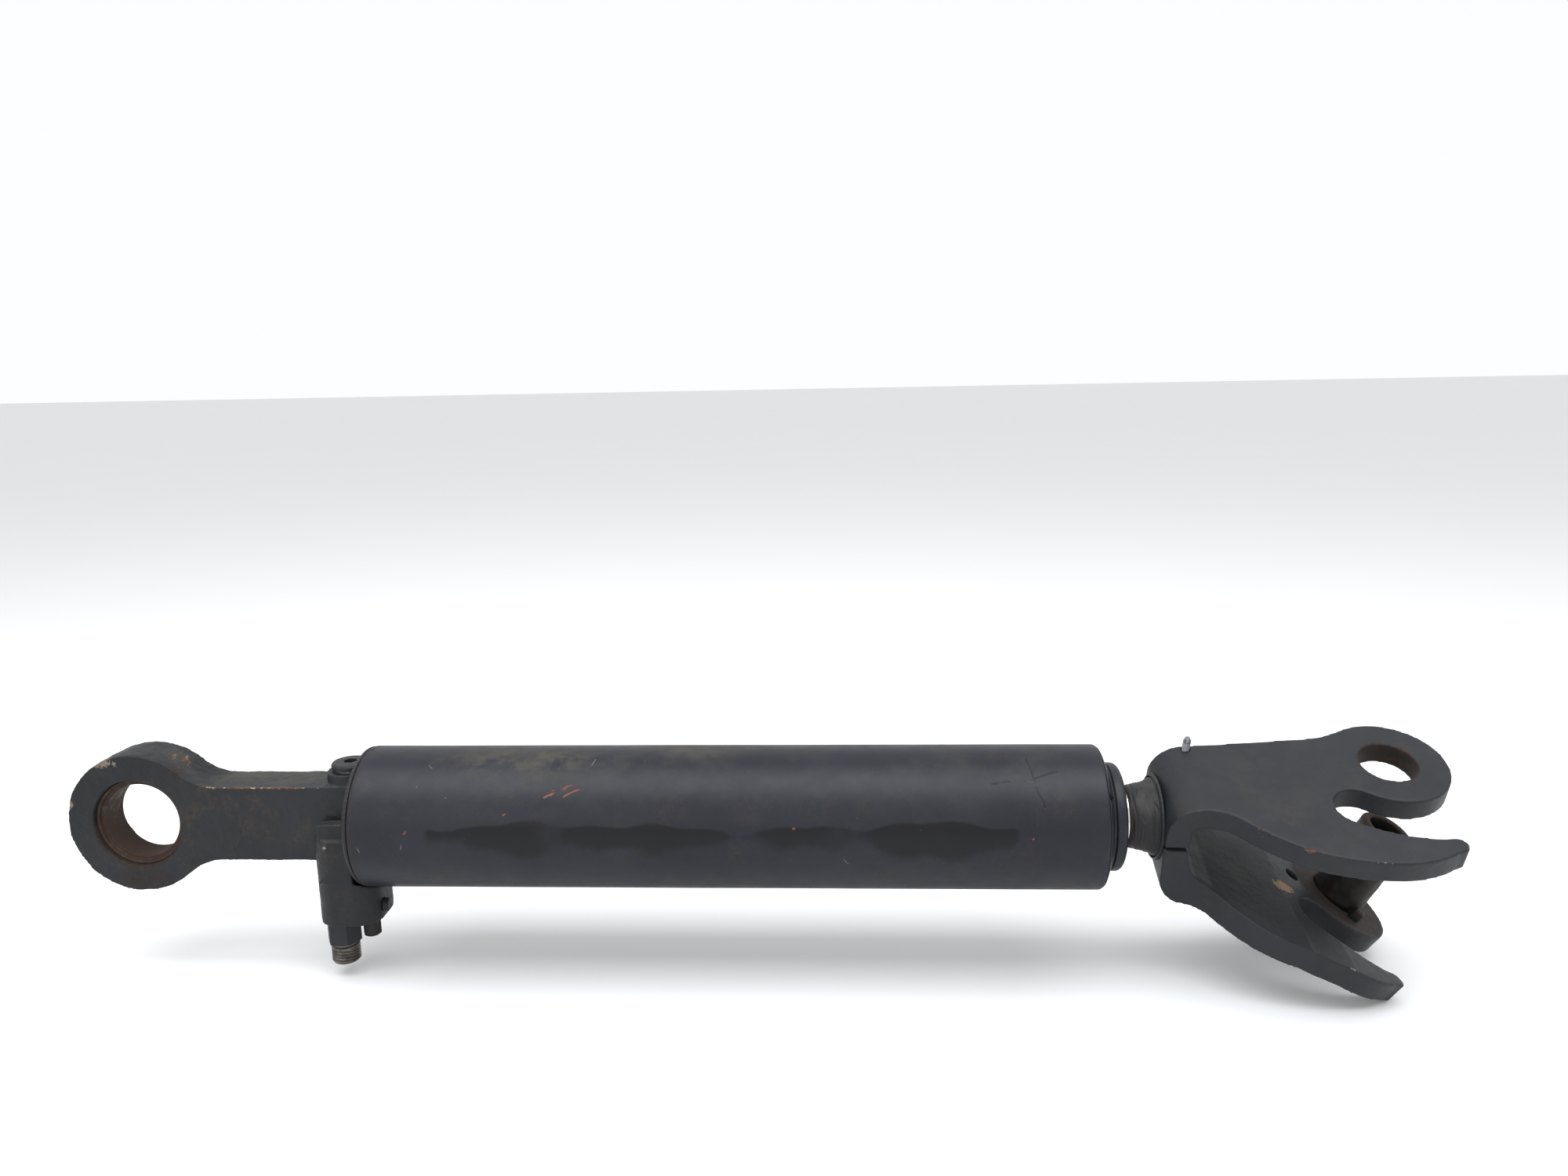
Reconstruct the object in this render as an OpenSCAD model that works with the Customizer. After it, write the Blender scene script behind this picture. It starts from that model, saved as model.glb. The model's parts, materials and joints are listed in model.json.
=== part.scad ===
// Two-stage telescopic hydraulic cylinder, drawn fully retracted.
// The origin is the centre of the base eye's bore. X runs along the cylinder towards the fork,
// Y runs along the base eye's bore and Z is up. All sizes are in millimetres.

/* [Base eye] */
// Outer diameter of the base eye
eye_d = 112; // [106:1:118]
// Width of the base eye and of its shank along the pin
eye_w = 38; // [34:1:44]
// Inner diameter of the base eye's bush, which takes the pin
eye_bore_d = 60; // [50:1:62]
// Outer diameter of the base eye's bush
eye_bush_d = 71; // [68:1:74]
// Height of the flat shank between the eye and the base head
shank_h = 60; // [50:1:66]
// Radius of the fillet between the eye and the shank
shank_fillet = 46; // [30:1:60]

/* [Port] */
// Radius of the pressure port's male thread
port_thread_r = 11; // [9:0.5:11.5]
// Length of the pressure port's threaded end
port_thread_l = 17; // [12:1:20]

/* [Barrel] */
// Outer diameter of the barrel tube
barrel_d = 110; // [108:1:112]
// Wall of the barrel tube
barrel_wall = 7.5; // [6.5:0.5:8]
// Distance from the base eye to the barrel tube's base end
barrel_x0 = 184; // [183:1:186]
// Distance from the base eye to the barrel tube's open end
barrel_x1 = 750; // [746:1:754]

/* [Stages] */
// Outer diameter of the middle stage
stage_d = 80; // [78:1:80]
// Wall of the middle stage
stage_wall = 9; // [8:0.5:9]
// Diameter of the rod
rod_d = 45; // [42:1:46]
// Travel of the middle stage out of the barrel
stage_stroke = 440; // [300:5:445]
// Travel of the rod out of the middle stage
rod_stroke = 430; // [300:5:435]

/* [Fork] */
// Turn of the fork about the cylinder's axis
fork_roll = 18.3; // [0:0.1:30]
// Turn of each cheek away from the fork's own roll
cheek_flare = 3.9; // [0:0.1:5]
// Thickness of each cheek
cheek_t = 18; // [16:0.5:19]
// Diameter of the pin hole in each cheek
fork_hole_d = 41; // [38:1:44]
// Outer diameter of the hub around each pin hole
hub_d = 86; // [82:1:88]
// Height of the upper cheek's outer face above the cylinder's axis
cheek_top = 41; // [40:0.5:43]
// Angle that the lower cheek stands out from the cylinder's axis
splay = 30.8; // [28:0.2:32]

/* [Hidden] */
$fn = 96;
// Gap left between solids that are fixed to each other
fit_gap = 0.05;
// Radial clearance of the guide rings and seals on a sliding tube
run_gap = 0.05;
// Radial clearance of bare metal around a sliding tube
free_gap = 0.5;
barrel_r = barrel_d / 2;
bore_r = barrel_r - barrel_wall;
stage_r = stage_d / 2;
stage_bore_r = stage_r - stage_wall;
rod_r = rod_d / 2;
// Base head: the disc that closes the barrel
head_x0 = 176;
head_spigot_x1 = 202;
// Barrel gland: its threaded spigot starts here and its cone ends here
gland_x0 = barrel_x1 - 44;
gland_x1 = barrel_x1 + 7;
gland_lip_r = 41.5;
// Middle stage's collar, outside the gland when retracted
collar_x0 = gland_x1 + 0.4;
collar_x1 = collar_x0 + 9.2;
collar_r = 41;
collar_spigot_x0 = collar_x0 - 40;
collar_thread_r = 35;
// Tail ends of the two sliding tubes
stage_x0 = 208;
rod_x0 = 214;
rod_x1 = 790;
stop_gap = 0.5;
stage_stop_x1 = gland_x0 - stop_gap - stage_stroke;
rod_stop_x1 = collar_spigot_x0 - stop_gap - rod_stroke;
stop_len = 14;
// Fork: the web's outer face and the frame that the cheek outline is drawn in
web_x = 794;
cheek_x = 800;
web_t = cheek_t;
bend_r = 25;
hub_u = 166;
hub_y = 15.4;
hub_r = hub_d / 2;
rivet_u = 119;
rivet_y = 10;
rivet_d = 11;
slot_u = 128;
slot_y = -32;
slot_r = 17.5;
// Lower cheek: its outer face's depth below the axis at cheek_x, and its gentler slope near the web
lower_face = 18.2;
lower_slope = 20.7;
lower_bend_x = 885;
// The lower cheek twists from root_roll, near the web, to its own roll
root_roll = 24;
root_x = 826;
twist_x = 914;
upper_roll = fork_roll + cheek_flare;
lower_roll = fork_roll - cheek_flare;
// Bush in the lower cheek: its lean from the hole's axis, its two radii, its step and its end
bush_lean = [2, -8.5, 0];
bush_r = 20.4;
bush_spigot_r = 17.5;
bush_step = 3.4;
bush_l = 72.3;
// Key beside the bush: its place on the lower cheek
key_u = hub_u + 4;
key_y = hub_y - 25.6;
key_r = 4.5;
// Lock screw: its place on the upper cheek
screw_u = 20;
screw_y = 31;
screw_r = 3;
// Port block: its plan, its corner radius and its underside
block_x0 = 142;
block_x1 = 191;
block_y0 = -33;
block_y1 = 19;
block_r = 18;
block_z = -79.5;
// Top of the block's column on the shank's face, and of the pad above it
column_z = -9;
pad_z = 3.6;
// Ports: where each one stands
port_x = 156.5;
port_y = -13;
plug_x = 174.5;
plug_y = -2;
side_z = -69.5;
bleed_x = 168;
bleed_z = 43;
// Shank of the pressure port's adapter, the port's seal and the two small plugs
adapter_r = 9;
adapter_bore_r = 5;
adapter_hex_h = 19;
seal_t = 1.5;
plug_r = 5;
oil_way_d = 8;
oil_way_z = -36;
paint = "#3c3f45";
worn = "#6b5a4c";
steel = "#8d8f92";
seal_black = "#1c1c1c";
guide_green = "#4f6b58";
zinc = "#b9bcc0";

// Points of an arc about (cx, cy), from angle a0 to a1 in n steps
function arc(cx, cy, r, a0, a1, n = 16) =
    [for (i = [0:n]) [cx + r * cos(a0 + (a1 - a0) * i / n), cy + r * sin(a0 + (a1 - a0) * i / n)]];

// Points of a cubic curve, without its two ends
function curve(a, b, c, d, n = 8) =
    [for (i = [1:n - 1]) let (t = i / n, s = 1 - t)
        s * s * s * a + 3 * s * s * t * b + 3 * s * t * t * c + t * t * t * d];

// A body of revolution about the X axis; the profile is drawn as (x, radius)
module turned_x() {
    rotate([0, 90, 0])
        rotate([0, 0, 90])
            rotate_extrude()
                mirror([1, -1, 0])
                    children();
}

// A plain ring about the X axis, from x0 to x1
module ring_x(x0, x1, r_in, r_out) {
    turned_x() translate([x0, r_in]) square([x1 - x0, r_out - r_in]);
}

// A ring about the X axis with chamfered corners on its outside
module bevel_ring_x(x0, x1, r_in, r_out, c) {
    turned_x()
        polygon([[x0, r_in], [x1, r_in], [x1, r_out - c], [x1 - c, r_out], [x0 + c, r_out], [x0, r_out - c]]);
}

// A hexagon bar along +Z with a chamfered end
module hex_bar(af, h) {
    intersection() {
        cylinder(d = af / cos(30), h = h, $fn = 6);
        translate([0, 0, -h])
            cylinder(r1 = af / 2 + 2.35 * h, r2 = af / 2 + 0.35 * h, h = 2 * h);
    }
}

// ---- base end ----

module eye_outline() {
    r = eye_d / 2;
    half = shank_h / 2;
    // The fillet's centre: its arc touches the eye and the shank's edge
    fillet_y = half + shank_fillet;
    fillet_x = sqrt(pow(r + shank_fillet, 2) - pow(fillet_y, 2));
    touch = atan2(fillet_y, fillet_x);
    inside = r - 4;
    fillet = arc(fillet_x, fillet_y, shank_fillet, 180 + touch, 270, 24);
    upper = concat([[inside * cos(touch), inside * sin(touch)]], [for (i = [1:24]) fillet[i]]);
    circle(r = r, $fn = 128);
    polygon(concat([[0, 0]], upper, [[head_x0 + 10, half], [head_x0 + 10, -half]],
        [for (i = [len(upper) - 1:-1:0]) [upper[i][0], -upper[i][1]]]));
}

module base_eye() {
    color(paint)
        difference() {
            union() {
                rotate([90, 0, 0])
                    linear_extrude(eye_w, center = true) eye_outline();
                // Boss that carries the bleed plug
                translate([bleed_x, 0, 0]) cylinder(d = 36, h = bleed_z - 4);
            }
            rotate([90, 0, 0]) cylinder(d = eye_bush_d, h = eye_w + 2, center = true);
            translate([bleed_x, 0, bleed_z - 26]) cylinder(d = 18 + 2 * fit_gap, h = 30);
            translate([head_x0, -barrel_r, -barrel_r]) cube([60, barrel_d, barrel_d]);
        }
}

module eye_bush() {
    recess = 4;
    lead = 1.5;
    r0 = eye_bore_d / 2;
    r1 = eye_bush_d / 2 - fit_gap;
    end = eye_w / 2 - recess;
    color(steel)
        rotate([90, 0, 0])
            rotate_extrude()
                polygon([[r0, lead - end], [r0 + lead, -end], [r1, -end], [r1, end], [r0 + lead, end],
                    [r0, end - lead]]);
}

module base_head() {
    color(paint)
        difference() {
            turned_x()
                polygon([[head_x0, 0], [head_spigot_x1, 0], [head_spigot_x1, bore_r - 3],
                    [head_spigot_x1 - 3, bore_r - fit_gap], [barrel_x0, bore_r - fit_gap],
                    [barrel_x0, barrel_r - 4], [head_x0 + 4, barrel_r - 4], [head_x0, barrel_r - 10]]);
            oil_way();
            // Clear of the bleed plug and its washer
            translate([bleed_x, 0, bleed_z - 6]) cylinder(r = 15.2, h = 30);
            translate([bleed_x, 0, bleed_z - 26]) cylinder(r = 9.3, h = 30);
        }
}

module base_weld() {
    color(paint)
        turned_x()
            intersection() {
                translate([barrel_x0 - 1, barrel_r - 4]) circle(r = 4, $fn = 32);
                translate([barrel_x0 - 6, barrel_r - 4]) square([6, 5]);
            }
}

module barrel_tube() {
    color(paint)
        bevel_ring_x(barrel_x0, barrel_x1, bore_r, barrel_r, 1);
}

// ---- ports ----

// Rounded plan of the port block
module block_plan() {
    block_l = block_x1 - block_x0;
    block_w = block_y1 - block_y0;
    translate([block_x0 + block_r, block_y0]) square([block_l - 2 * block_r, block_w]);
    translate([block_x0, block_y0 + block_r]) square([block_l, block_w - 2 * block_r]);
    for (x = [block_x0 + block_r, block_x1 - block_r], y = [block_y0 + block_r, block_y1 - block_r])
        translate([x, y]) circle(r = block_r);
}

// Drilling from the port into the barrel
module oil_way() {
    translate([port_x, port_y, oil_way_z]) rotate([0, 90, 0]) cylinder(d = oil_way_d, h = 60);
}

module port_block() {
    shank_y = -eye_w / 2 - fit_gap;
    color(paint)
        difference() {
            union() {
                // Body under the shank
                translate([0, 0, block_z]) linear_extrude(-shank_h / 2 - fit_gap - block_z) block_plan();
                // Column on the shank's front face
                translate([0, 0, block_z])
                    linear_extrude(column_z - block_z)
                        intersection() {
                            block_plan();
                            translate([block_x0 - 1, block_y0 - 1])
                                square([block_x1 - block_x0 + 2, shank_y - block_y0 + 1]);
                        }
                // Pad above the column
                translate([block_x0 + 7, block_y0 + 3, column_z - 4])
                    cube([26, shank_y - block_y0 - 3, pad_z - column_z + 4]);
            }
            // Port drillings
            translate([port_x, port_y, block_z - 1]) cylinder(r = adapter_r + fit_gap, h = 27);
            translate([port_x, port_y, block_z]) cylinder(d = oil_way_d, h = oil_way_z - block_z);
            oil_way();
            translate([plug_x, plug_y, block_z - 1]) cylinder(r = plug_r + fit_gap, h = 14);
            // Clear of the barrel and its base weld
            rotate([0, 90, 0]) translate([0, 0, head_x0 - 0.5]) cylinder(r = barrel_r + fit_gap, h = 60);
        }
}

module port_adapter() {
    thread_z = block_z - seal_t - adapter_hex_h;
    color(steel)
        translate([port_x, port_y, 0])
            difference() {
                union() {
                    translate([0, 0, block_z - seal_t - 1]) cylinder(r = adapter_r, h = 25);
                    translate([0, 0, block_z - seal_t]) mirror([0, 0, 1]) hex_bar(24, adapter_hex_h);
                    translate([0, 0, thread_z - 3]) cylinder(r = port_thread_r - 1.3, h = 4);
                    // Male thread, drawn at its crests
                    translate([0, 0, thread_z - port_thread_l + 1])
                        cylinder(r = port_thread_r, h = port_thread_l - 3);
                    translate([0, 0, thread_z - port_thread_l])
                        cylinder(r1 = port_thread_r - 1.5, r2 = port_thread_r, h = 1);
                }
                translate([0, 0, thread_z - 20]) cylinder(r = adapter_bore_r, h = 60);
            }
}

module port_seal() {
    color(seal_black)
        translate([port_x, port_y, block_z - seal_t])
            difference() {
                cylinder(r = 12.5, h = seal_t);
                translate([0, 0, -1]) cylinder(r = adapter_r + fit_gap, h = 4);
            }
}

// A plug with a hexagon head below z = 0 and its shank above
module hex_plug(af, head_h, flange_r, shank_r, shank_l) {
    mirror([0, 0, 1]) hex_bar(af, head_h);
    mirror([0, 0, 1]) cylinder(r = flange_r, h = 2);
    cylinder(r = shank_r, h = shank_l);
}

module blanking_plug() {
    color(paint)
        translate([plug_x, plug_y, block_z - fit_gap]) hex_plug(13, 21, 7, plug_r, 12);
}

module side_plug() {
    color(paint)
        translate([block_x1 + fit_gap, port_y, side_z])
            rotate([0, -90, 0]) hex_plug(10, 4.5, 5.6, 3.5, fit_gap);
}

module bleed_plug() {
    color(paint)
        translate([bleed_x, 0, bleed_z])
            difference() {
                union() {
                    translate([0, 0, -24]) cylinder(r = 9, h = 24);
                    translate([0, 0, -2]) cylinder(r = 14.5, h = 3);
                    translate([0, 0, 1]) cylinder(r1 = 14.5, r2 = 13, h = 1.5);
                }
                translate([0, 0, -4]) cylinder(d = 10 / cos(30), h = 8, $fn = 6);
            }
}

module bleed_washer() {
    color(steel)
        translate([bleed_x, 0, bleed_z - 4])
            difference() {
                cylinder(r = 13.5, h = 2);
                translate([0, 0, -1]) cylinder(r = 9 + fit_gap, h = 4);
            }
}

// ---- barrel gland and its rings ----

module barrel_gland() {
    r0 = stage_r + free_gap;
    ro = bore_r - fit_gap;
    color(paint)
        turned_x()
            difference() {
                union() {
                    translate([gland_x0, r0]) square([barrel_x1 - gland_x0 + 0.01, ro - r0]);
                    polygon([[barrel_x1 + fit_gap, r0], [gland_x1, r0], [gland_x1, gland_lip_r],
                        [barrel_x1 + fit_gap + 0.6, barrel_r - 0.6], [barrel_x1 + fit_gap, barrel_r - 0.6]]);
                    translate([barrel_x1 - 1, r0]) square([2, ro - r0]);
                }
                // Grooves for the guide ring, the seal, the wiper and the static O-ring
                translate([gland_x0 + 5, r0 - 1]) square([12, 3.5]);
                translate([gland_x0 + 22, r0 - 1]) square([9, 6]);
                translate([gland_x1 - 11, r0 - 1]) square([6.5, 4.5]);
                translate([gland_x0 + 10, ro - 2.9]) square([5, 4.5]);
            }
}

module gland_o_ring() {
    color(seal_black)
        turned_x() translate([gland_x0 + 12.5, bore_r - fit_gap - 1.4]) circle(r = 1.35, $fn = 32);
}

module barrel_guide_ring() {
    color(guide_green)
        ring_x(gland_x0 + 5.2, gland_x0 + 16.8, stage_r + run_gap, stage_r + free_gap + 2.4);
}

module barrel_seal() {
    ro = stage_r + free_gap + 4.9;
    color(seal_black)
        turned_x()
            polygon([[gland_x0 + 22.2, stage_r + run_gap], [gland_x0 + 25, stage_r + run_gap + 1.6],
                [gland_x0 + 30.8, stage_r + run_gap], [gland_x0 + 30.8, ro], [gland_x0 + 22.2, ro]]);
}

module barrel_wiper() {
    ro = stage_r + free_gap + 3.4;
    x0 = gland_x1 - 10.8;
    x1 = gland_x1 - 4.7;
    color(seal_black)
        turned_x()
            polygon([[x0, stage_r + 1.2], [x0 + 3.8, stage_r + 1.2], [x1, stage_r + run_gap],
                [x1, ro], [x0, ro]]);
}

// ---- middle stage ----

module stage_tube() {
    color(steel)
        turned_x()
            difference() {
                translate([stage_x0, stage_bore_r])
                    square([collar_x0 - fit_gap - stage_x0, stage_wall]);
                // Counterbore that the collar screws into
                translate([collar_spigot_x0 - fit_gap, 0]) square([80, collar_thread_r + 0.2]);
                // Lead-in at the tail
                polygon([[stage_x0 - 1, stage_bore_r - 1], [stage_x0 + 3, stage_bore_r - 1],
                    [stage_x0 - 1, stage_bore_r + 3]]);
            }
}

module stage_bearing_ring() {
    color(guide_green)
        ring_x(stage_x0 + 4, stage_x0 + 24, stage_r + fit_gap, bore_r - run_gap);
}

module stage_stop_ring() {
    color(steel)
        bevel_ring_x(stage_stop_x1 - stop_len, stage_stop_x1, stage_r + fit_gap, bore_r - free_gap, 1);
}

module stage_collar() {
    r0 = rod_r + free_gap;
    rt = collar_thread_r;
    round_r = 4.5;
    color(paint)
        turned_x()
            difference() {
                union() {
                    translate([collar_spigot_x0, r0]) square([40.01, rt - r0]);
                    translate([collar_x0, r0]) square([collar_x1 - collar_x0, collar_r - round_r - r0]);
                    translate([collar_x0, r0]) square([collar_x1 - round_r - collar_x0, collar_r - r0]);
                    translate([collar_x1 - round_r, collar_r - round_r]) circle(r = round_r, $fn = 48);
                }
                translate([collar_spigot_x0 + 4, r0 - 1]) square([12, 3.5]);
                translate([collar_spigot_x0 + 20, r0 - 1]) square([9, 6]);
                translate([collar_x1 - 7, r0 - 1]) square([5, 5]);
                translate([collar_spigot_x0 + 6, rt - 2.9]) square([5, 4.5]);
                // Turned lines on the collar's face
                for (r = [27, 31.5]) translate([collar_x1 - 0.8, r]) square([2, 0.8]);
            }
}

module collar_o_ring() {
    color(seal_black)
        turned_x() translate([collar_spigot_x0 + 8.5, collar_thread_r - 1.4]) circle(r = 1.35, $fn = 32);
}

module stage_guide_ring() {
    color(guide_green)
        ring_x(collar_spigot_x0 + 4.2, collar_spigot_x0 + 15.8, rod_r + run_gap, rod_r + free_gap + 2.4);
}

module stage_seal() {
    ro = rod_r + free_gap + 4.9;
    x0 = collar_spigot_x0 + 20.2;
    color(seal_black)
        turned_x()
            polygon([[x0, rod_r + run_gap], [x0 + 2.8, rod_r + run_gap + 1.6], [x0 + 8.6, rod_r + run_gap],
                [x0 + 8.6, ro], [x0, ro]]);
}

module stage_wiper() {
    ro = rod_r + free_gap + 3.9;
    color(seal_black)
        turned_x()
            polygon([[collar_x1 - 6.8, rod_r + 1.2], [collar_x1 - 3.5, rod_r + 1.2],
                [collar_x1 - 2.2, rod_r + run_gap], [collar_x1 - 2.2, ro], [collar_x1 - 6.8, ro]]);
}

// ---- rod ----

// Ring that guides the rod's tail; it slides with the rod and does not turn
module rod_bearing_ring() {
    color(guide_green)
        ring_x(rod_x0 + 26, rod_x0 + 46, rod_r - 2.5 + run_gap, stage_bore_r - run_gap);
}

module rod() {
    color(zinc)
        turned_x()
            difference() {
                polygon([[rod_x0, 0], [rod_x1, 0], [rod_x1, rod_r - 2], [rod_x1 - 2, rod_r],
                    [rod_x0 + 16, rod_r], [rod_x0 + 16, 15], [rod_x0 + 1.5, 15], [rod_x0, 13.5]]);
                translate([rod_x0 + 25.6, rod_r - 2.5]) square([20.8, 5]);
            }
}

module rod_stop_ring() {
    color(steel)
        bevel_ring_x(rod_stop_x1 - stop_len, rod_stop_x1, rod_r + fit_gap, stage_bore_r - free_gap, 1);
}

module rod_end_nut() {
    color(steel)
        translate([rod_x0 + 2, 0, 0])
            rotate([0, 90, 0])
                difference() {
                    cylinder(d = 46, h = 13.5, $fn = 6);
                    translate([0, 0, -1]) cylinder(r = 15 + fit_gap, h = 16);
                }
}

module rod_neck() {
    color(paint)
        turned_x()
            polygon([[771, rod_r + fit_gap], [771, rod_r + 1.2], [775, rod_r + 3], [783, rod_r + 4.2],
                [789, rod_r + 6.5], [web_x - fit_gap, rod_r + 8.5], [web_x - fit_gap, rod_r + fit_gap]]);
}

module neck_weld() {
    color(paint)
        turned_x()
            intersection() {
                translate([web_x - 0.5, rod_r + 8.5]) circle(r = 2.2, $fn = 32);
                translate([web_x - 6, rod_r + 8.55]) square([6 - fit_gap, 5]);
            }
}

// ---- fork ----

// Outline of one cheek, drawn in its own plane: u along the cheek, y away from the hook
function cheek_outline() = concat(
    [[-20, -35], [17, -37]],
    curve([17, -37], [34, -37], [38, -43], [50, -54.7], 6),
    [[50, -54.7]],
    curve([50, -54.7], [68, -70], [84, -84], [125.2, -87.2], 10),
    arc(137, -3, 85, 262, 300, 12),
    arc(181.2, -69.6, 6.3, -55, 100, 8),
    curve([180, -63.4], [160, -66], [137, -58], [122, -48.4]),
    arc(slot_u, slot_y, slot_r, 250, 51.3, 24),
    arc(hub_u, hub_y, hub_r, 231.3, 474.8, 48),
    curve([148, 54.4], [137, 49.4], [128, 43.6], [112, 42.3]),
    [[112, 42.3], [26, 35], [-20, 33]]);

// Side view of the upper cheek and its half of the web, as (x, height above the axis)
function upper_profile() = concat(
    [[web_x, 0]],
    arc(web_x + bend_r, cheek_top - bend_r, bend_r, 180, 90, 12),
    [[1030, cheek_top], [1030, cheek_top - cheek_t]],
    arc(web_x + bend_r, cheek_top - bend_r, bend_r - cheek_t, 90, 180, 8),
    [[web_x + web_t, 0]]);

// Height of the lower cheek's outer face at a place along the cylinder
function lower_z(x) = x > lower_bend_x ? -lower_face - tan(splay) * (x - cheek_x)
    : lower_z(lower_bend_x + 0.01) + tan(lower_slope) * (lower_bend_x - x);
function lower_top(x) = lower_z(x) + cheek_t / cos(x > lower_bend_x ? splay : lower_slope);
function roll_at(x) = root_roll + (lower_roll - root_roll) * (x - root_x) / (twist_x - root_x);

// Side view of the web's lower half and the cheek's root
function root_profile() = let (
        corner_z = -27,
        corner_r = 20,
        inner_x = web_x + web_t) concat(
    [[web_x, 0], [web_x, corner_z]],
    arc(web_x + corner_r, corner_z, corner_r, 181, 270 - lower_slope, 10),
    [[root_x, lower_z(root_x)],
        [root_x + cheek_t * sin(lower_slope), lower_z(root_x) + cheek_t * cos(lower_slope)],
        [inner_x + 7, lower_top(inner_x + 7) + 2.5], [inner_x + 3, lower_top(inner_x + 3) + 6.5],
        [inner_x + 1, lower_top(inner_x) + 11], [inner_x, lower_top(inner_x) + 18], [inner_x, 0]]);

// Side view of the lower cheek beyond its twist
function lower_profile() = let (
        tip_x = 1010,
        rise = cheek_t * cos(splay),
        ahead = cheek_t * sin(splay)) [
    [twist_x, lower_z(twist_x)], [tip_x, lower_z(tip_x)],
    [tip_x + ahead, lower_z(tip_x) + rise], [twist_x + ahead, lower_z(twist_x) + rise]];

// A stretch of the lower cheek that twists about its own length; over is what it runs past each end
module twisted_stretch(x0, x1, slope, over, steps) {
    mid_x = (x0 + x1) / 2;
    turn = roll_at(x0) - roll_at(x1);
    length = (x1 - x0) / cos(slope) + 2 * over;
    rotate([roll_at(mid_x), 0, 0])
        translate([mid_x, 0, lower_z(mid_x)])
            rotate([turn / 2, slope, 0])
                translate([-length / 2, 0, 0])
                    rotate([0, 90, 0])
                        linear_extrude(length, twist = turn, slices = steps)
                            polygon(concat([for (y = [-110:20:70]) [0, y]],
                                [for (y = [70:-20:-110]) [-cheek_t, y]]));
}

// A side view swept across the fork
module across_fork(points) {
    rotate([90, 0, 0]) linear_extrude(220, center = true) polygon(points);
}

// Places its children in the lower cheek's own plane, with z along its normal
module on_lower_cheek() {
    rotate([lower_roll, 0, 0])
        translate([cheek_x, 0, -lower_face])
            rotate([0, splay, 0]) children();
}

module fork_upper_cheek() {
    color(paint)
        difference() {
            rotate([upper_roll, 0, 0])
                difference() {
                    intersection() {
                        across_fork(upper_profile());
                        translate([cheek_x, 0, -20]) linear_extrude(80) polygon(cheek_outline());
                    }
                    translate([cheek_x + hub_u, hub_y, 0]) cylinder(d = fork_hole_d, h = 60);
                    translate([cheek_x + screw_u, screw_y, cheek_top - 8])
                        cylinder(r = screw_r + 0.1, h = 10);
                }
            rotate([fork_roll, 0, 0]) translate([700, -150, -100 + fit_gap / 2]) cube([400, 300, 100]);
        }
}

module fork_lower_cheek() {
    // Half of the wedge between the two stretches at their bend
    mitre = cheek_t * tan((splay - lower_slope) / 2);
    color(paint)
        difference() {
            intersection() {
                union() {
                    rotate([root_roll, 0, 0]) across_fork(root_profile());
                    twisted_stretch(root_x, lower_bend_x, lower_slope, mitre, 5);
                    twisted_stretch(lower_bend_x, twist_x, splay, mitre, 3);
                    rotate([lower_roll, 0, 0]) across_fork(lower_profile());
                }
                on_lower_cheek() translate([0, 0, -60]) linear_extrude(140) polygon(cheek_outline());
            }
            on_lower_cheek() {
                translate([hub_u, hub_y, -10]) cylinder(d = fork_hole_d, h = 40);
                translate([rivet_u, rivet_y, -10]) cylinder(d = rivet_d, h = 40);
            }
            rotate([fork_roll, 0, 0]) translate([700, -150, -fit_gap / 2]) cube([400, 300, 100]);
        }
}

// Stepped bush that stands askew in the lower cheek's pin hole
module fork_bush() {
    color(worn)
        on_lower_cheek()
            translate([hub_u, hub_y, cheek_t])
                rotate(bush_lean)
                    difference() {
                        union() {
                            translate([0, 0, -14]) cylinder(r = bush_spigot_r, h = bush_step + 15);
                            translate([0, 0, bush_step]) cylinder(r = bush_r, h = bush_l - bush_step - 2);
                            translate([0, 0, bush_l - 2]) cylinder(r1 = bush_r, r2 = bush_r - 2, h = 2);
                        }
                        translate([0, 0, bush_l - 24]) cylinder(r = 14, h = 30);
                    }
}

module bush_key() {
    color(worn)
        on_lower_cheek()
            translate([key_u, key_y, cheek_t + fit_gap]) {
                cylinder(r = key_r, h = 8);
                translate([0, 0, 8]) cylinder(r1 = key_r, r2 = key_r - 1, h = 1);
            }
}

module lock_screw() {
    color(zinc)
        rotate([upper_roll, 0, 0])
            translate([cheek_x + screw_u, screw_y, cheek_top - 7.9]) {
                cylinder(r = screw_r, h = 16);
                translate([0, 0, 16]) cylinder(r1 = screw_r, r2 = 1.8, h = 3);
            }
}

base_eye();
eye_bush();
base_head();
base_weld();
barrel_tube();
port_block();
port_adapter();
port_seal();
blanking_plug();
side_plug();
bleed_plug();
bleed_washer();
barrel_gland();
gland_o_ring();
barrel_guide_ring();
barrel_seal();
barrel_wiper();
stage_tube();
stage_bearing_ring();
stage_stop_ring();
stage_collar();
collar_o_ring();
stage_guide_ring();
stage_seal();
stage_wiper();
rod_bearing_ring();
rod();
rod_stop_ring();
rod_end_nut();
rod_neck();
neck_weld();
fork_upper_cheek();
fork_lower_cheek();
fork_bush();
bush_key();
lock_screw();
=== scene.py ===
"""Looks of the two-stage telescopic hydraulic cylinder.

Everything is in metres in the CAD's own frame: the origin is the centre of the base eye's bore,
X runs along the cylinder towards the fork, Y along the base eye's bore, and Z is up.
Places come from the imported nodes' boxes and from the named values below.
"""

import json
import math
import random

import bpy
import bmesh
import numpy as np
from mathutils import Matrix, Vector, noise


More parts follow.
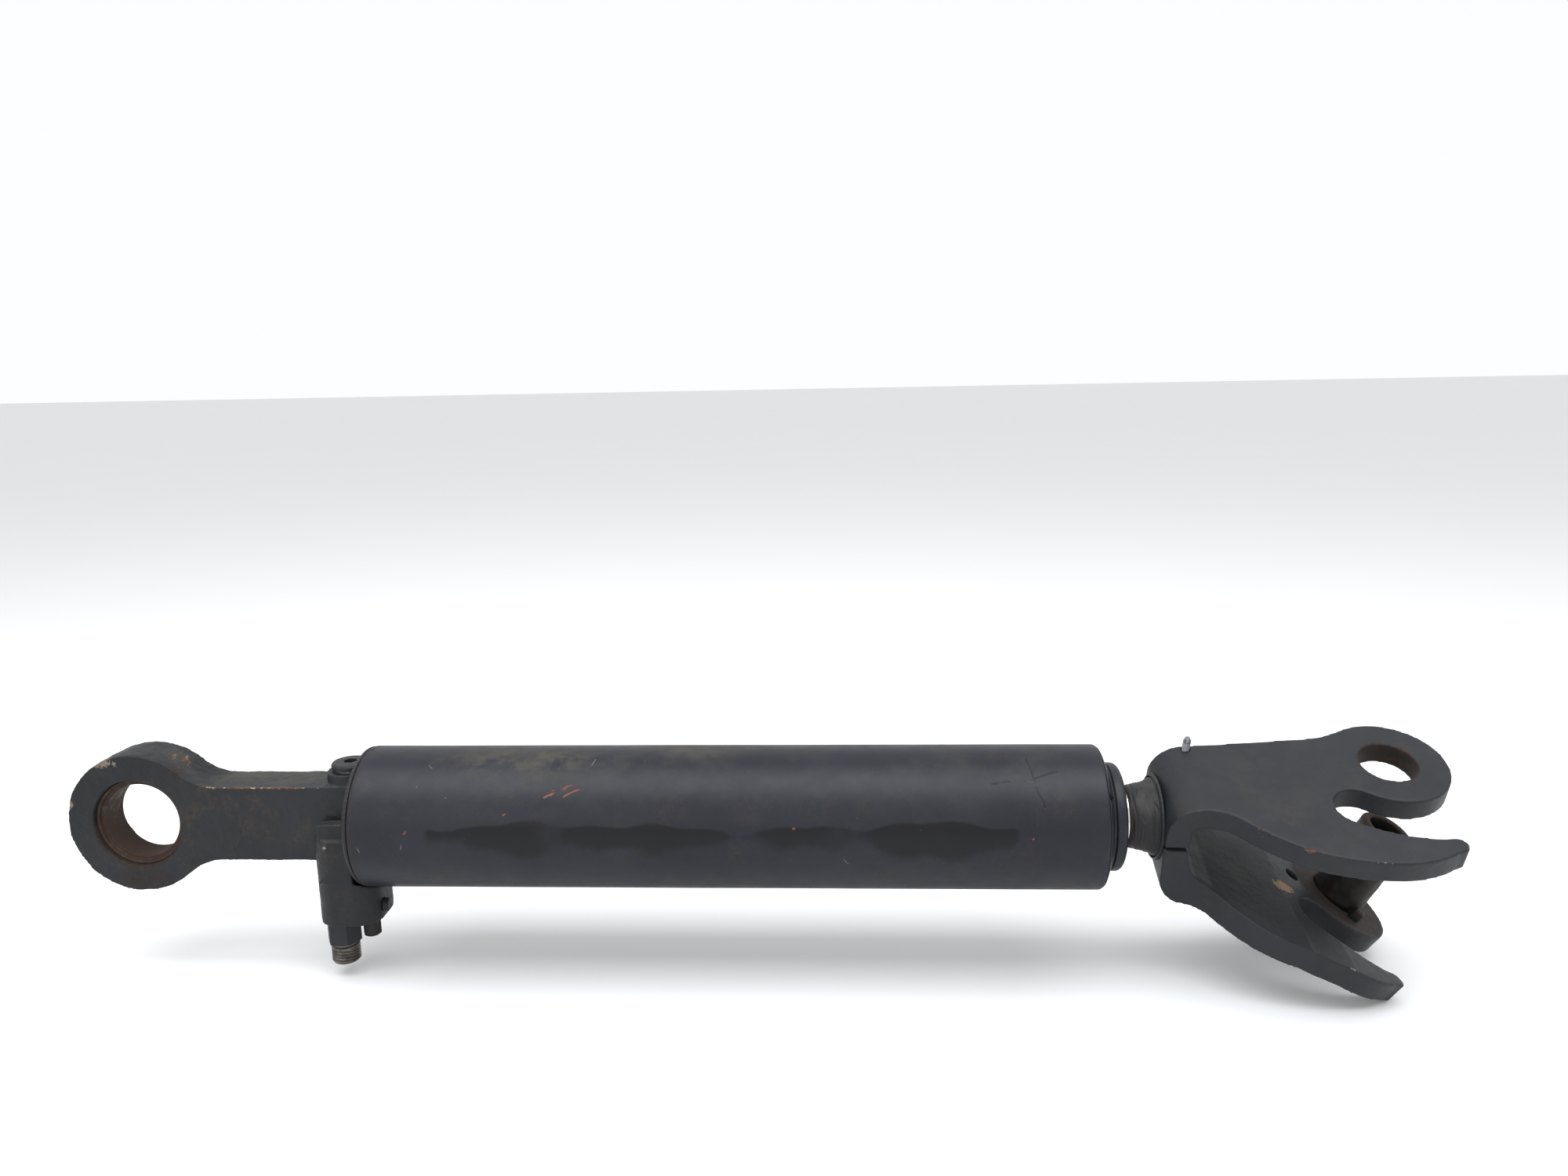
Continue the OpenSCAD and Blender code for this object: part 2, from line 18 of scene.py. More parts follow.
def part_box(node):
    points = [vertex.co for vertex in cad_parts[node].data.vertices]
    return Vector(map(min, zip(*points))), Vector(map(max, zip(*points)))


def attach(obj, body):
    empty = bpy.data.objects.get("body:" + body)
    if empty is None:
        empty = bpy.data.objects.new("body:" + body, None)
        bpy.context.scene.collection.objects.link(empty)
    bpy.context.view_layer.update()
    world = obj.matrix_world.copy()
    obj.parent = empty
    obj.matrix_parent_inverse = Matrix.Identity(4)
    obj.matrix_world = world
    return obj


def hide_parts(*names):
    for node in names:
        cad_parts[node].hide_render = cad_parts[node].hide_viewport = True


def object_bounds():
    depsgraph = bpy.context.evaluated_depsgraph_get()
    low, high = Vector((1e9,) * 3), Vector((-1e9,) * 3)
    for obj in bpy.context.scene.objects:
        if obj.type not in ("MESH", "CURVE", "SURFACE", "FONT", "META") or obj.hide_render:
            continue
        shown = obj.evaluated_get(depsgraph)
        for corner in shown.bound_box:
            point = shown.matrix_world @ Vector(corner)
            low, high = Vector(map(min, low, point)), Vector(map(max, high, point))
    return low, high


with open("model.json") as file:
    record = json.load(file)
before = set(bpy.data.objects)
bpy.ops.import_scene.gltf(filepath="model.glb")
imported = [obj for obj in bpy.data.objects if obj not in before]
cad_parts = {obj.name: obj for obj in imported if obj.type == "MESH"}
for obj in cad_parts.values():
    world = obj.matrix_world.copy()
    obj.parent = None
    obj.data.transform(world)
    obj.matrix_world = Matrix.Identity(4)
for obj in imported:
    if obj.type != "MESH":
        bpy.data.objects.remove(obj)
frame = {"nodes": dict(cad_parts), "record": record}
cad_low, cad_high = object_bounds()
nodes = frame["nodes"]
MM = 0.001

# ---- sizes that a node's box doesn't give ----

BARREL_WALL = 7.5 * MM
STAGE_WALL = 9 * MM
EYE_BORE_R = 30 * MM
PORT_XY = (156.5 * MM, -13 * MM)
PLUG_XY = (174.5 * MM, -2 * MM)
BLEED_X = 168 * MM
THREAD_PITCH = 2.5 * MM
PORT_BORE_R = 5 * MM

# The two cheeks' own frames: each turns about X, and the lower one slopes away from the axis.
# In a cheek's frame X and Y lie in its face, from its root, and Z is across its thickness.
UPPER_ROLL = math.radians(22.2)
LOWER_ROLL = math.radians(14.4)
SPLAY = math.radians(30.8)
CHEEK_X = 800 * MM
CHEEK_T = 18 * MM
UPPER_FACE = 41 * MM
LOWER_FACE = 18.2 * MM
HUB = (166 * MM, 15.4 * MM)
HUB_R = 43 * MM
HOLE_R = 20.5 * MM
# The bush in the lower cheek's hole leans about the cheek's own X and Y
BUSH_LEAN = (math.radians(2), math.radians(-8.5))

upper_frame = Matrix.Rotation(UPPER_ROLL, 4, "X") @ Matrix.Translation((CHEEK_X, 0, UPPER_FACE))
lower_frame = (Matrix.Rotation(LOWER_ROLL, 4, "X") @ Matrix.Translation((CHEEK_X, 0, -LOWER_FACE))
               @ Matrix.Rotation(SPLAY, 4, "Y"))


# ---- materials ----

class Finish:
    """A material built node by node; every method returns an output socket."""

    def __init__(self, name):
        self.material = bpy.data.materials.new(name)
        self.material.use_nodes = True
        self.tree = self.material.node_tree
        self.tree.nodes.clear()
        self.out = self.tree.nodes.new("ShaderNodeOutputMaterial")
        self.shader = self.tree.nodes.new("ShaderNodeBsdfPrincipled")
        self.tree.links.new(self.shader.outputs[0], self.out.inputs[0])
        self.place = self.tree.nodes.new("ShaderNodeTexCoord").outputs["Object"]

    def put(self, socket, value):
        """Links an output socket to this one, or sets this one's number or colour."""
        if isinstance(value, bpy.types.NodeSocket):
            self.tree.links.new(value, socket)
        else:
            socket.default_value = value

    def set(self, **values):
        """Sets or links the shader's sockets, named with _ for each space."""
        for name, value in values.items():
            self.put(self.shader.inputs[name.replace("_", " ")], value)

    def math(self, operation, a, b=0.0, clamp=False):
        node = self.tree.nodes.new("ShaderNodeMath")
        node.operation = operation
        node.use_clamp = clamp
        self.put(node.inputs[0], a)
        self.put(node.inputs[1], b)
        return node.outputs[0]

    def vector(self, operation, a, b=(0.0, 0.0, 0.0), scale=None):
        node = self.tree.nodes.new("ShaderNodeVectorMath")
        node.operation = operation
        self.put(node.inputs[0], a)
        self.put(node.inputs[1], b)
        if scale is not None:
            self.put(node.inputs["Scale"], scale)
        return node.outputs["Value"] if operation in ("LENGTH", "DOT_PRODUCT") else node.outputs[0]

    def noise(self, scale, detail=3.0, rough=0.55, stretch=(1.0, 1.0, 1.0)):
        node = self.tree.nodes.new("ShaderNodeTexNoise")
        self.put(node.inputs["Vector"], self.vector("MULTIPLY", self.place, stretch))
        node.inputs["Scale"].default_value = scale
        node.inputs["Detail"].default_value = detail
        node.inputs["Roughness"].default_value = rough
        return node.outputs[0]

    def noise_colour(self, scale):
        node = self.tree.nodes.new("ShaderNodeTexNoise")
        self.put(node.inputs["Vector"], self.place)
        node.inputs["Scale"].default_value = scale
        return node.outputs[1]

    def step(self, value, low, high, first=0.0, last=1.0):
        """A smooth step: first where the value is under low, last where it is over high."""
        node = self.tree.nodes.new("ShaderNodeMapRange")
        node.interpolation_type = "SMOOTHSTEP"
        self.put(node.inputs["Value"], value)
        for name, number in (("From Min", low), ("From Max", high), ("To Min", first), ("To Max", last)):
            node.inputs[name].default_value = number
        return node.outputs[0]

    def mix(self, share, a, b):
        """A colour that goes from a to b."""
        node = self.tree.nodes.new("ShaderNodeMix")
        node.data_type = "RGBA"
        self.put(node.inputs[0], share)
        for socket, value in ((node.inputs[6], a), (node.inputs[7], b)):
            self.put(socket, (*value, 1.0) if isinstance(value, tuple) else value)
        return node.outputs[2]

    def blend(self, share, a, b):
        """A number that goes from a to b."""
        node = self.tree.nodes.new("ShaderNodeMix")
        for socket, value in zip(node.inputs[:1] + node.inputs[2:4], (share, a, b)):
            self.put(socket, value)
        return node.outputs[0]

    def mark(self, name):
        """A mark stored on the mesh, from 0 to 1."""
        node = self.tree.nodes.new("ShaderNodeAttribute")
        node.attribute_name = name
        return node.outputs["Fac"]

    def ragged(self, mark, scale, width=0.12, spread=0.7):
        """A mark with an uneven edge."""
        lumps = self.math("MULTIPLY", self.math("SUBTRACT", self.noise(scale, 5.0, 0.62), 0.5), spread)
        return self.step(self.math("ADD", mark, lumps), 0.5 - width, 0.5 + width)

    def facing_up(self):
        """The normal's Z: 1 where the surface faces up, 0 where it stands upright."""
        node = self.tree.nodes.new("ShaderNodeNewGeometry")
        split = self.tree.nodes.new("ShaderNodeSeparateXYZ")
        self.tree.links.new(node.outputs["Normal"], split.inputs[0])
        return split.outputs[2]

    def bump(self, height, distance, strength):
        node = self.tree.nodes.new("ShaderNodeBump")
        node.inputs["Strength"].default_value = strength
        node.inputs["Distance"].default_value = distance
        self.put(node.inputs["Height"], height)
        return node.outputs[0]

    def round_the_barrel(self, radius):
        """Place on the barrel's surface: along it, and round it from the front, in metres."""
        split = self.tree.nodes.new("ShaderNodeSeparateXYZ")
        self.tree.links.new(self.place, split.inputs[0])
        turn = self.math("ARCTAN2", split.outputs[2], self.math("MULTIPLY", split.outputs[1], -1.0))
        join = self.tree.nodes.new("ShaderNodeCombineXYZ")
        self.tree.links.new(split.outputs[0], join.inputs[0])
        self.put(join.inputs[1], self.math("MULTIPLY", turn, radius))
        return join.outputs[0]

    def strokes(self, place, lines, width):
        """A mask that is 1 on any of the short lines ((x, y), (x, y))."""
        nearest = None
        for start, end in lines:
            along = Vector((end[0] - start[0], end[1] - start[1], 0.0))
            there = self.vector("SUBTRACT", place, (start[0], start[1], 0.0))
            share = self.math("DIVIDE", self.vector("DOT_PRODUCT", there, tuple(along)),
                              max(along.length_squared, 1e-12), clamp=True)
            foot = self.vector("SCALE", tuple(along), scale=share)
            away = self.vector("LENGTH", self.vector("SUBTRACT", there, foot))
            nearest = away if nearest is None else self.math("MINIMUM", nearest, away)
        return self.step(nearest, 0.35 * width, width, 1.0, 0.0)


RUST = (0.045, 0.02, 0.011)
RUST_BRIGHT = (0.1, 0.041, 0.021)
BROWN = (0.017, 0.0125, 0.01)
# Bare metal; also the colour of painted highlights on the port block's knob and the lower cheek's edge
BARE_AND_HIGHLIGHT = (0.27, 0.23, 0.19)
BARE_DULL_AND_HIGHLIGHT = (0.1, 0.08, 0.065)
YELLOW = (0.3, 0.2, 0.1)
YELLOW_DULL = (0.12, 0.07, 0.035)
GRIME = (0.036, 0.027, 0.02)
DUST = (0.06, 0.056, 0.047)
BARREL_DUST = (0.06, 0.056, 0.044)
# Near black of the glossy band painted along the barrel's front as a reflection
PAINTED_REFLECTION = (0.002, 0.002, 0.003)
SCRATCH = (0.2, 0.065, 0.035)
NICK = (0.16, 0.155, 0.145)
# Near black painted along the barrel's crease as shade
CREASE_SHADE = (0.003, 0.003, 0.004)
PAINT = (0.011, 0.0118, 0.0145)
# How much the shader's own gloss is held back, on old paint and on stained steel
PAINT_SPECULAR = 0.24
STEEL_SPECULAR = 0.3


def paint(name, dark, light, roughness=0.42, grain=0.5, dust=0.3, chip=0.75, stain=0.3, barrel_r=None):
    """Worn dark paint. Marks on the mesh: edge, rust, bare, brown, yellow; a missing mark reads as 0.
    A lower chip bares more of the marked places. barrel_r is given for the barrel, with marks of its own."""
    f = Finish(name)
    tone = f.step(f.noise(11, 5.0, 0.6), 0.3, 0.72)
    fine = f.noise(420, 4.0, 0.6)
    speck = f.noise(1500, 2.0, 0.5)
    colour = f.mix(tone, dark, light)
    colour = f.mix(f.step(fine, 0.56, 0.74, 0.0, 0.35), colour, tuple(0.45 * c for c in dark))
    stained = f.math("MULTIPLY", f.step(f.noise(31, 7.0, 0.68), 0.48, 0.7),
                     f.step(f.noise(270, 4.0, 0.7), 0.35, 0.6))
    colour = f.mix(f.math("MULTIPLY", stained, stain), colour, GRIME)
    # Dust lies where the surface faces up, in patches
    lying = f.math("MULTIPLY", f.step(f.facing_up(), 0.1, 0.95), f.step(f.noise(26, 6.0, 0.65), 0.42, 0.68))
    lying = f.math("MULTIPLY", lying, dust)
    colour = f.mix(lying, colour, DUST)
    rough = f.blend(f.noise(65, 5.0, 0.6), roughness - 0.1, roughness + 0.14)
    rough = f.blend(lying, rough, 0.8)
    height = f.math("ADD", f.math("MULTIPLY", fine, grain), f.math("MULTIPLY", speck, 0.35))
    if barrel_r:
        colour, rough, height = barrel_marks(f, colour, rough, height, barrel_r)
    # A brown crust over the paint
    brown = f.ragged(f.mark("brown"), 95, 0.3, 0.9)
    crust = f.mix(f.step(f.noise(240, 5.0, 0.7), 0.45, 0.75), BROWN, RUST)
    colour = f.mix(f.math("MULTIPLY", brown, 0.85), colour, crust)
    rough = f.blend(brown, rough, 0.72)
    # Chips down to rust, and to metal here and there
    worn = f.math("ADD", f.mark("edge"), f.math("MULTIPLY", f.mark("rust"), 0.66))
    chips = f.math("ADD", worn, f.math("MULTIPLY", f.math("SUBTRACT", f.noise(150, 6.0, 0.72), 0.5), 1.5))
    chips = f.step(chips, chip, chip + 0.1)
    rusty = f.mix(f.step(f.noise(330, 4.0, 0.6), 0.38, 0.62), RUST, RUST_BRIGHT)
    metal = f.step(f.noise(210, 4.0, 0.6), 0.5, 0.62)
    colour = f.mix(chips, colour, f.mix(metal, rusty, BARE_AND_HIGHLIGHT))
    # Rubbed places of bare metal, some of them painted highlights, and yellow ones
    bare = f.ragged(f.mark("bare"), 430, 0.09, 1.9)
    colour = f.mix(bare, colour, f.mix(f.noise(500, 3.0, 0.6), BARE_AND_HIGHLIGHT, BARE_DULL_AND_HIGHLIGHT))
    yellow = f.ragged(f.mark("yellow"), 260, 0.08, 1.5)
    colour = f.mix(yellow, colour, f.mix(f.noise(380, 4.0, 0.6), YELLOW, YELLOW_DULL))
    gone = f.math("MAXIMUM", f.math("MAXIMUM", chips, bare), yellow)
    rough = f.blend(gone, rough, 0.5)
    shine = f.math("MULTIPLY", f.math("MAXIMUM", f.math("MULTIPLY", chips, metal), bare), 0.75)
    height = f.math("SUBTRACT", height, f.math("MULTIPLY", gone, 1.6))
    f.set(Base_Color=colour, Roughness=rough, Metallic=shine, Normal=f.bump(height, 0.22 * MM, 0.55),
          Specular_IOR_Level=PAINT_SPECULAR)
    return f.material


def barrel_marks(f, colour, rough, height, radius):
    """The barrel's own marks: a dusty patch, a dark glossy band along its front painted as a reflection,
    scratches, and a crease with painted shade along it.
    """
    def lines(*ends):
        """Lines on the barrel between two places, each in mm along it and degrees round it from the front."""
        return [tuple((x * MM, radius * math.radians(degrees)) for x, degrees in pair) for pair in ends]

    place = f.round_the_barrel(radius)
    shake = f.vector("SUBTRACT", f.noise_colour(70), (0.5, 0.5, 0.5))
    shaken = f.vector("ADD", place, f.vector("SCALE", shake, scale=6 * MM))
    dusty = f.math("MULTIPLY", f.mark("dusty"), f.step(f.noise(48, 7.0, 0.7), 0.4, 0.62))
    colour = f.mix(f.math("MULTIPLY", dusty, 0.75), colour, BARREL_DUST)
    rough = f.blend(dusty, rough, 0.75)
    # A dark, glossier band along the front: a painted reflection
    reflection_band = f.ragged(f.mark("reflection_band"), 75, 0.22, 0.55)
    colour = f.mix(f.math("MULTIPLY", reflection_band, 0.85), colour, PAINTED_REFLECTION)
    rough = f.blend(f.math("MULTIPLY", reflection_band, 0.8), rough, 0.3)
    orange = lines(((333, 35), (349, 43)), ((340, 40.5), (352, 46)), ((349, 36.5), (363, 44.5)),
                   ((303, 21.9), (303.6, 22.4)), ((565, 21.5), (566, 21.2)), ((693.6, 3.9), (694, 4.2)),
                   ((228, 8), (229, 10)), ((520, 12), (521, 12.4)))
    scratch = f.strokes(shaken, orange, 1 * MM)
    colour = f.mix(f.math("MULTIPLY", scratch, 0.7), colour, SCRATCH)
    draw = random.Random(5)
    pale = []
    for count, x_low, x_high in ((6, 192, 262), (4, 270, 740)):
        for _ in range(count):
            x, turn = draw.uniform(x_low, x_high), draw.uniform(-30, 70)
            pale += lines(((x, turn), (x + draw.uniform(-5, 5), turn + draw.uniform(2, 7))))
    nick = f.strokes(shaken, pale, 0.5 * MM)
    colour = f.mix(f.math("MULTIPLY", nick, 0.55), colour, NICK)
    # Lines of a crease by the dent: they cut into the bump, and are painted near black as the shade in the
    # crease
    crease_and_shade_lines = lines(((693, 71), (697, 50)), ((697, 50), (703, 28)),
                    ((666, 47), (690, 49)), ((690, 49), (714, 58)))
    crease_and_shade = f.strokes(shaken, crease_and_shade_lines, 1.1 * MM)
    colour = f.mix(f.math("MULTIPLY", crease_and_shade, 0.8), colour, CREASE_SHADE)
    height = f.math("SUBTRACT", height, f.math("MULTIPLY", f.math("MAXIMUM", scratch, crease_and_shade), 1.5))
    return colour, rough, height


def steel(name, bright, dull, roughness, stain, lathe=False, shine=1.0):
    """Machined steel, with brown staining. lathe gives it lines round the X axis.
    Marks on the mesh: brown and painted."""
    f = Finish(name)
    lines = f.noise(900, 2.0, 0.5, stretch=(1.0, 0.02, 0.02)) if lathe else f.noise(700, 3.0, 0.6)
    colour = f.mix(f.step(f.noise(60, 5.0, 0.6), 0.3, 0.7), bright, dull)
    stained = f.step(f.noise(110, 6.0, 0.68), 0.62 - 0.35 * stain, 0.72 - 0.2 * stain)
    stained = f.math("MULTIPLY", stained, stain * 1.6, clamp=True)
    brown = f.ragged(f.mark("brown"), 120, 0.3, 0.9)
    stained = f.math("MULTIPLY", f.math("MAXIMUM", stained, brown), 0.9)
    colour = f.mix(stained, colour, f.mix(f.noise(260, 4.0, 0.6), BROWN, RUST))
    rough = f.blend(f.noise(140, 4.0, 0.6), roughness - 0.08, roughness + 0.12)
    rough = f.blend(stained, rough, 0.75)
    metal = f.blend(stained, shine, 0.15)
    coat = f.ragged(f.mark("painted"), 240, 0.12, 0.5)
    relief = (0.16 if lathe else 0.06) * MM
    f.set(Base_Color=f.mix(coat, colour, PAINT), Metallic=f.blend(coat, metal, 0.0),
          Roughness=f.blend(coat, rough, 0.5), Normal=f.bump(lines, relief, 0.35),
          Specular_IOR_Level=STEEL_SPECULAR)
    return f.material


def plain(name, colour, roughness):
    """Rubber or plastic with a fine uneven skin."""
    f = Finish(name)
    skin = f.noise(600, 4.0, 0.6)
    f.set(Base_Color=f.mix(f.step(f.noise(45, 4.0, 0.6), 0.3, 0.7), colour, tuple(0.7 * c for c in colour)),
          Roughness=f.blend(skin, roughness - 0.08, roughness + 0.1), Normal=f.bump(skin, 0.08 * MM, 0.4))
    return f.material


finishes = {
    "body_paint": paint("body_paint", (0.009, 0.0094, 0.0112), (0.0155, 0.016, 0.0185),
                        roughness=0.5, grain=1.3, dust=0.6, chip=0.66, stain=0.75),
    "barrel_paint": paint("barrel_paint", (0.0092, 0.0096, 0.0145), (0.0135, 0.0142, 0.02),
                          roughness=0.4, grain=0.35, dust=0.2, barrel_r=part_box("barrel_tube")[1].z),
    "fork_paint": paint("fork_paint", (0.0125, 0.013, 0.0155), (0.0165, 0.0172, 0.0205),
                        roughness=0.46, grain=0.4, dust=0.12),
    "eye_bush_steel": steel("eye_bush_steel", (0.07, 0.052, 0.04), (0.03, 0.023, 0.019), 0.5, 0.8, shine=0.5),
    "port_steel": steel("port_steel", (0.2, 0.19, 0.175), (0.06, 0.056, 0.052), 0.36, 0.4),
    "ground_steel": steel("ground_steel", (0.56, 0.56, 0.57), (0.45, 0.45, 0.46), 0.2, 0.0, lathe=True),
    "rod_chrome": steel("rod_chrome", (0.78, 0.77, 0.74), (0.7, 0.69, 0.66), 0.14, 0.0, lathe=True),
    "seal_rubber": plain("seal_rubber", (0.014, 0.014, 0.014), 0.62),
    "guide_plastic": plain("guide_plastic", (0.1, 0.2, 0.13), 0.5),
    "worn_steel": steel("worn_steel", (0.016, 0.014, 0.013), (0.009, 0.0082, 0.0078), 0.45, 0.4, shine=0.3),
    "zinc": steel("zinc", (0.3, 0.31, 0.32), (0.2, 0.2, 0.21), 0.34, 0.1),
}
slot_of = {part["node"]: part["material_slot"] for part in frame["record"]["subparts"]}
body_of = {name: body for body, names in frame["record"]["behaviour"]["bodies"].items() for name in names}


# ---- building pieces ----

def piece(name, mesh, node):
    """Makes a piece that stands for a CAD node, with its finish, on its body."""
    mesh.polygons.foreach_set("use_smooth", [True] * len(mesh.polygons))
    obj = bpy.data.objects.new(name, mesh)
    bpy.context.scene.collection.objects.link(obj)
    mesh.materials.clear()
    mesh.materials.append(finishes[slot_of[node]])
    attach(obj, body_of[node])
    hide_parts(node)
    return obj


def rounded(profile, radius, closed=True, steps=4):
    """The profile with each corner rounded to about that radius."""
    points, count = [Vector(p) for p in profile], len(profile)
    made = []
    for i, corner in enumerate(points):
        if not closed and i in (0, count - 1):
            made.append(corner)
            continue
        before, after = points[i - 1] - corner, points[(i + 1) % count] - corner
        cut = min(radius, 0.45 * before.length, 0.45 * after.length)
        a, b = corner + before.normalized() * cut, corner + after.normalized() * cut
        made += [(1 - t) ** 2 * a + 2 * t * (1 - t) * corner + t * t * b
                 for t in (k / steps for k in range(steps + 1))]
    return made


def grooves(places, wall, inwards):
    """Points of square grooves in a wall, one after the other; each is (start, end, depth)."""
    made = []
    for start, end, depth in places:
        bottom = wall - depth if inwards else wall + depth
        made += [(start, wall), (start, bottom), (end, bottom), (end, wall)]
    return made


def densified(profile, step):
    """The closed profile with points added so that none is further than step from the next."""
    made = []
    for a, b in zip(profile, profile[1:] + profile[:1]):
        count = max(1, math.ceil((b - a).length / step))
        made += [a.lerp(b, k / count) for k in range(count)]
    return made


def turned(profile, segments=192, place=Matrix.Identity(4), shape=None):
    """A closed ring-shaped mesh about X, from a closed profile of (x, radius).
    shape(x, radius, turn) gives each point's own radius; turn is 0 at the front and grows upwards."""
    points = np.array([tuple(p) for p in profile])
    turns = np.arange(segments) * 2 * math.pi / segments
    x = np.repeat(points[:, :1], segments, 1)
    radius = np.repeat(points[:, 1:], segments, 1)
    turn = np.repeat(turns[None, :], len(points), 0)
    if shape is not None:
        radius = shape(x, radius, turn)
    co = np.stack([x, -radius * np.cos(turn), radius * np.sin(turn)], -1).reshape(-1, 3)
    i, j = np.meshgrid(np.arange(len(points)), np.arange(segments), indexing="ij")
    i_next, j_next = (i + 1) % len(points), (j + 1) % segments
    faces = np.stack([i * segments + j, i * segments + j_next,
                      i_next * segments + j_next, i_next * segments + j], -1)
    mesh = bpy.data.meshes.new("turned")
    mesh.from_pydata(co.tolist(), [], faces.reshape(-1, 4).tolist())
    work = bmesh.new()
    work.from_mesh(mesh)
    bmesh.ops.remove_doubles(work, verts=work.verts, dist=1e-6)
    bmesh.ops.recalc_face_normals(work, faces=work.faces)
    work.to_mesh(mesh)
    work.free()
    mesh.transform(place)
    return mesh


def hexagon(across):
    """A shape for turned(): no point lies outside a hexagon that many metres across its flats."""
    blunt = 0.98

    def shape(x, radius, turn):
        off = (turn + math.pi / 6) % (math.pi / 3) - math.pi / 6
        return np.minimum(radius, across / 2 / np.cos(np.abs(off) * blunt))
    return shape


def thread_cut(x, turn, pitch, start, end, steep, crest):
    """How far a helical thread is cut in between start and end: 0 on its crest, 1 at its root."""
    wave = np.abs(((x / pitch - turn / (2 * math.pi)) % 1) * 2 - 1)
    return ramp(np.minimum(x - start, end - x), pitch) * np.clip(wave * steep - crest, 0, 1)


def over_ring(x, turn, stretch, ring, value):
    """value(place) at each point of a turned mesh. The places lie round a ring of that radius, so that
    they join where the mesh closes."""
    made = np.empty_like(x)
    for index in np.ndindex(x.shape):
        angle = turn[index]
        made[index] = value(Vector((x[index] * stretch, ring * math.cos(angle), ring * math.sin(angle))))
    return made


def upright(x, y, z=0.0, down=False):
    """Places a turned mesh with its axis along Z, or along -Z."""
    return Matrix.Translation((x, y, z)) @ Matrix.Rotation(math.radians(90 if down else -90), 4, "Y")


def neighbours_mean(mesh, values):
    """Each vertex's mean over its neighbours."""
    edges = np.empty(len(mesh.edges) * 2, np.int32)
    mesh.edges.foreach_get("vertices", edges)
    a, b = edges.reshape(-1, 2).T
    total = np.zeros_like(values)
    count = np.zeros(len(values))
    for here, there in ((a, b), (b, a)):
        np.add.at(total, here, values[there])
        np.add.at(count, here, 1)
    return total / np.maximum(count, 1).reshape(-1, *([1] * (values.ndim - 1)))


def ramp(value, width):
    """0 up to a value of 0, 1 from a value of width, and straight in between."""
    return np.clip(value / width, 0, 1)


def places(mesh):
    co = np.empty(len(mesh.vertices) * 3)
    mesh.vertices.foreach_get("co", co)
    return co.reshape(-1, 3)


def normals(mesh):
    out = np.empty(len(mesh.vertices) * 3)
    mesh.vertices.foreach_get("normal", out)
    return out.reshape(-1, 3)


def store(mesh, name, values):
    """Stores a mark on the mesh, from 0 to 1 at each vertex."""
    attribute = mesh.attributes.get(name) or mesh.attributes.new(name, "FLOAT", "POINT")
    attribute.data.foreach_set("value", np.clip(values, 0, 1).astype(np.float32))


def edge_mark(mesh, size, strength=1.0):
    """Marks convex edges: how far each point stands out from its neighbours."""
    co = places(mesh)
    out = ((co - neighbours_mean(mesh, co)) * normals(mesh)).sum(1) / size
    for _ in range(2):
        out = 0.5 * out + 0.5 * neighbours_mean(mesh, out)
    store(mesh, "edge", strength * out)


def spots(co, *blobs):
    """A soft mark: each blob is (centre, radii), 1 at its centre and 0 at its radii."""
    value = np.zeros(len(co))
    for centre, radii in blobs:
        away = np.linalg.norm((co - np.array(centre)) / np.array(radii), axis=1)
        value = np.maximum(value, np.clip(1.35 - 1.35 * away, 0, 1))
    return value


def in_frame(co, matrix):
    """The points as seen in that frame."""
    back = np.array(matrix.inverted())
    return co @ back[:3, :3].T + back[:3, 3]


def bar(low, high):
    """A box mesh, to be melted into a casting."""
    mesh = bpy.data.meshes.new("bar")
    work = bmesh.new()
    size = Vector(high) - Vector(low)
    bmesh.ops.create_cube(work, size=1.0, matrix=Matrix.Translation((Vector(low) + Vector(high)) / 2)
                          @ Matrix.Diagonal((*size, 1.0)))
    work.to_mesh(mesh)
    work.free()
    return mesh


def knob(centre, radius):
    """A ball mesh, to be melted into a casting."""
    mesh = bpy.data.meshes.new("knob")
    work = bmesh.new()
    bmesh.ops.create_icosphere(work, subdivisions=3, radius=radius, matrix=Matrix.Translation(centre))
    work.to_mesh(mesh)
    work.free()
    return mesh


def cast(node, cell, smooth, extras, roughness):
    """The CAD node's shape, with the extras melted in, as a casting: remeshed in cells of that size, its
    edges rounded and its skin uneven. roughness is a list of (wavelength in m, height in mm)."""
    work = bmesh.new()
    work.from_mesh(nodes[node].data)
    for extra in extras:
        work.from_mesh(extra)
    start = bpy.data.meshes.new("cast")
    work.to_mesh(start)
    work.free()
    holder = bpy.data.objects.new("cast_work", start)
    bpy.context.scene.collection.objects.link(holder)
    remesh = holder.modifiers.new("remesh", "REMESH")
    remesh.mode = "VOXEL"
    remesh.voxel_size = cell
    even = holder.modifiers.new("even", "SMOOTH")
    even.factor = 0.5
    even.iterations = smooth
    shown = holder.evaluated_get(bpy.context.evaluated_depsgraph_get())
    mesh = bpy.data.meshes.new_from_object(shown)
    bpy.data.objects.remove(holder)
    edge_mark(mesh, cell, 4.5)
    co, out = places(mesh), normals(mesh)
    push = np.zeros(len(co))
    for wave, height in roughness:
        push += [height * MM * noise.fractal(Vector(p) / wave, 1.0, 2.0, 3) for p in co.tolist()]
    co = co + out * push[:, None]
    mesh.vertices.foreach_set("co", co.ravel())
    mesh.update()
    return mesh


# ---- base end ----

eye_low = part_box("base_eye")[0]
eye_r = -eye_low.x
face_y = eye_low.y
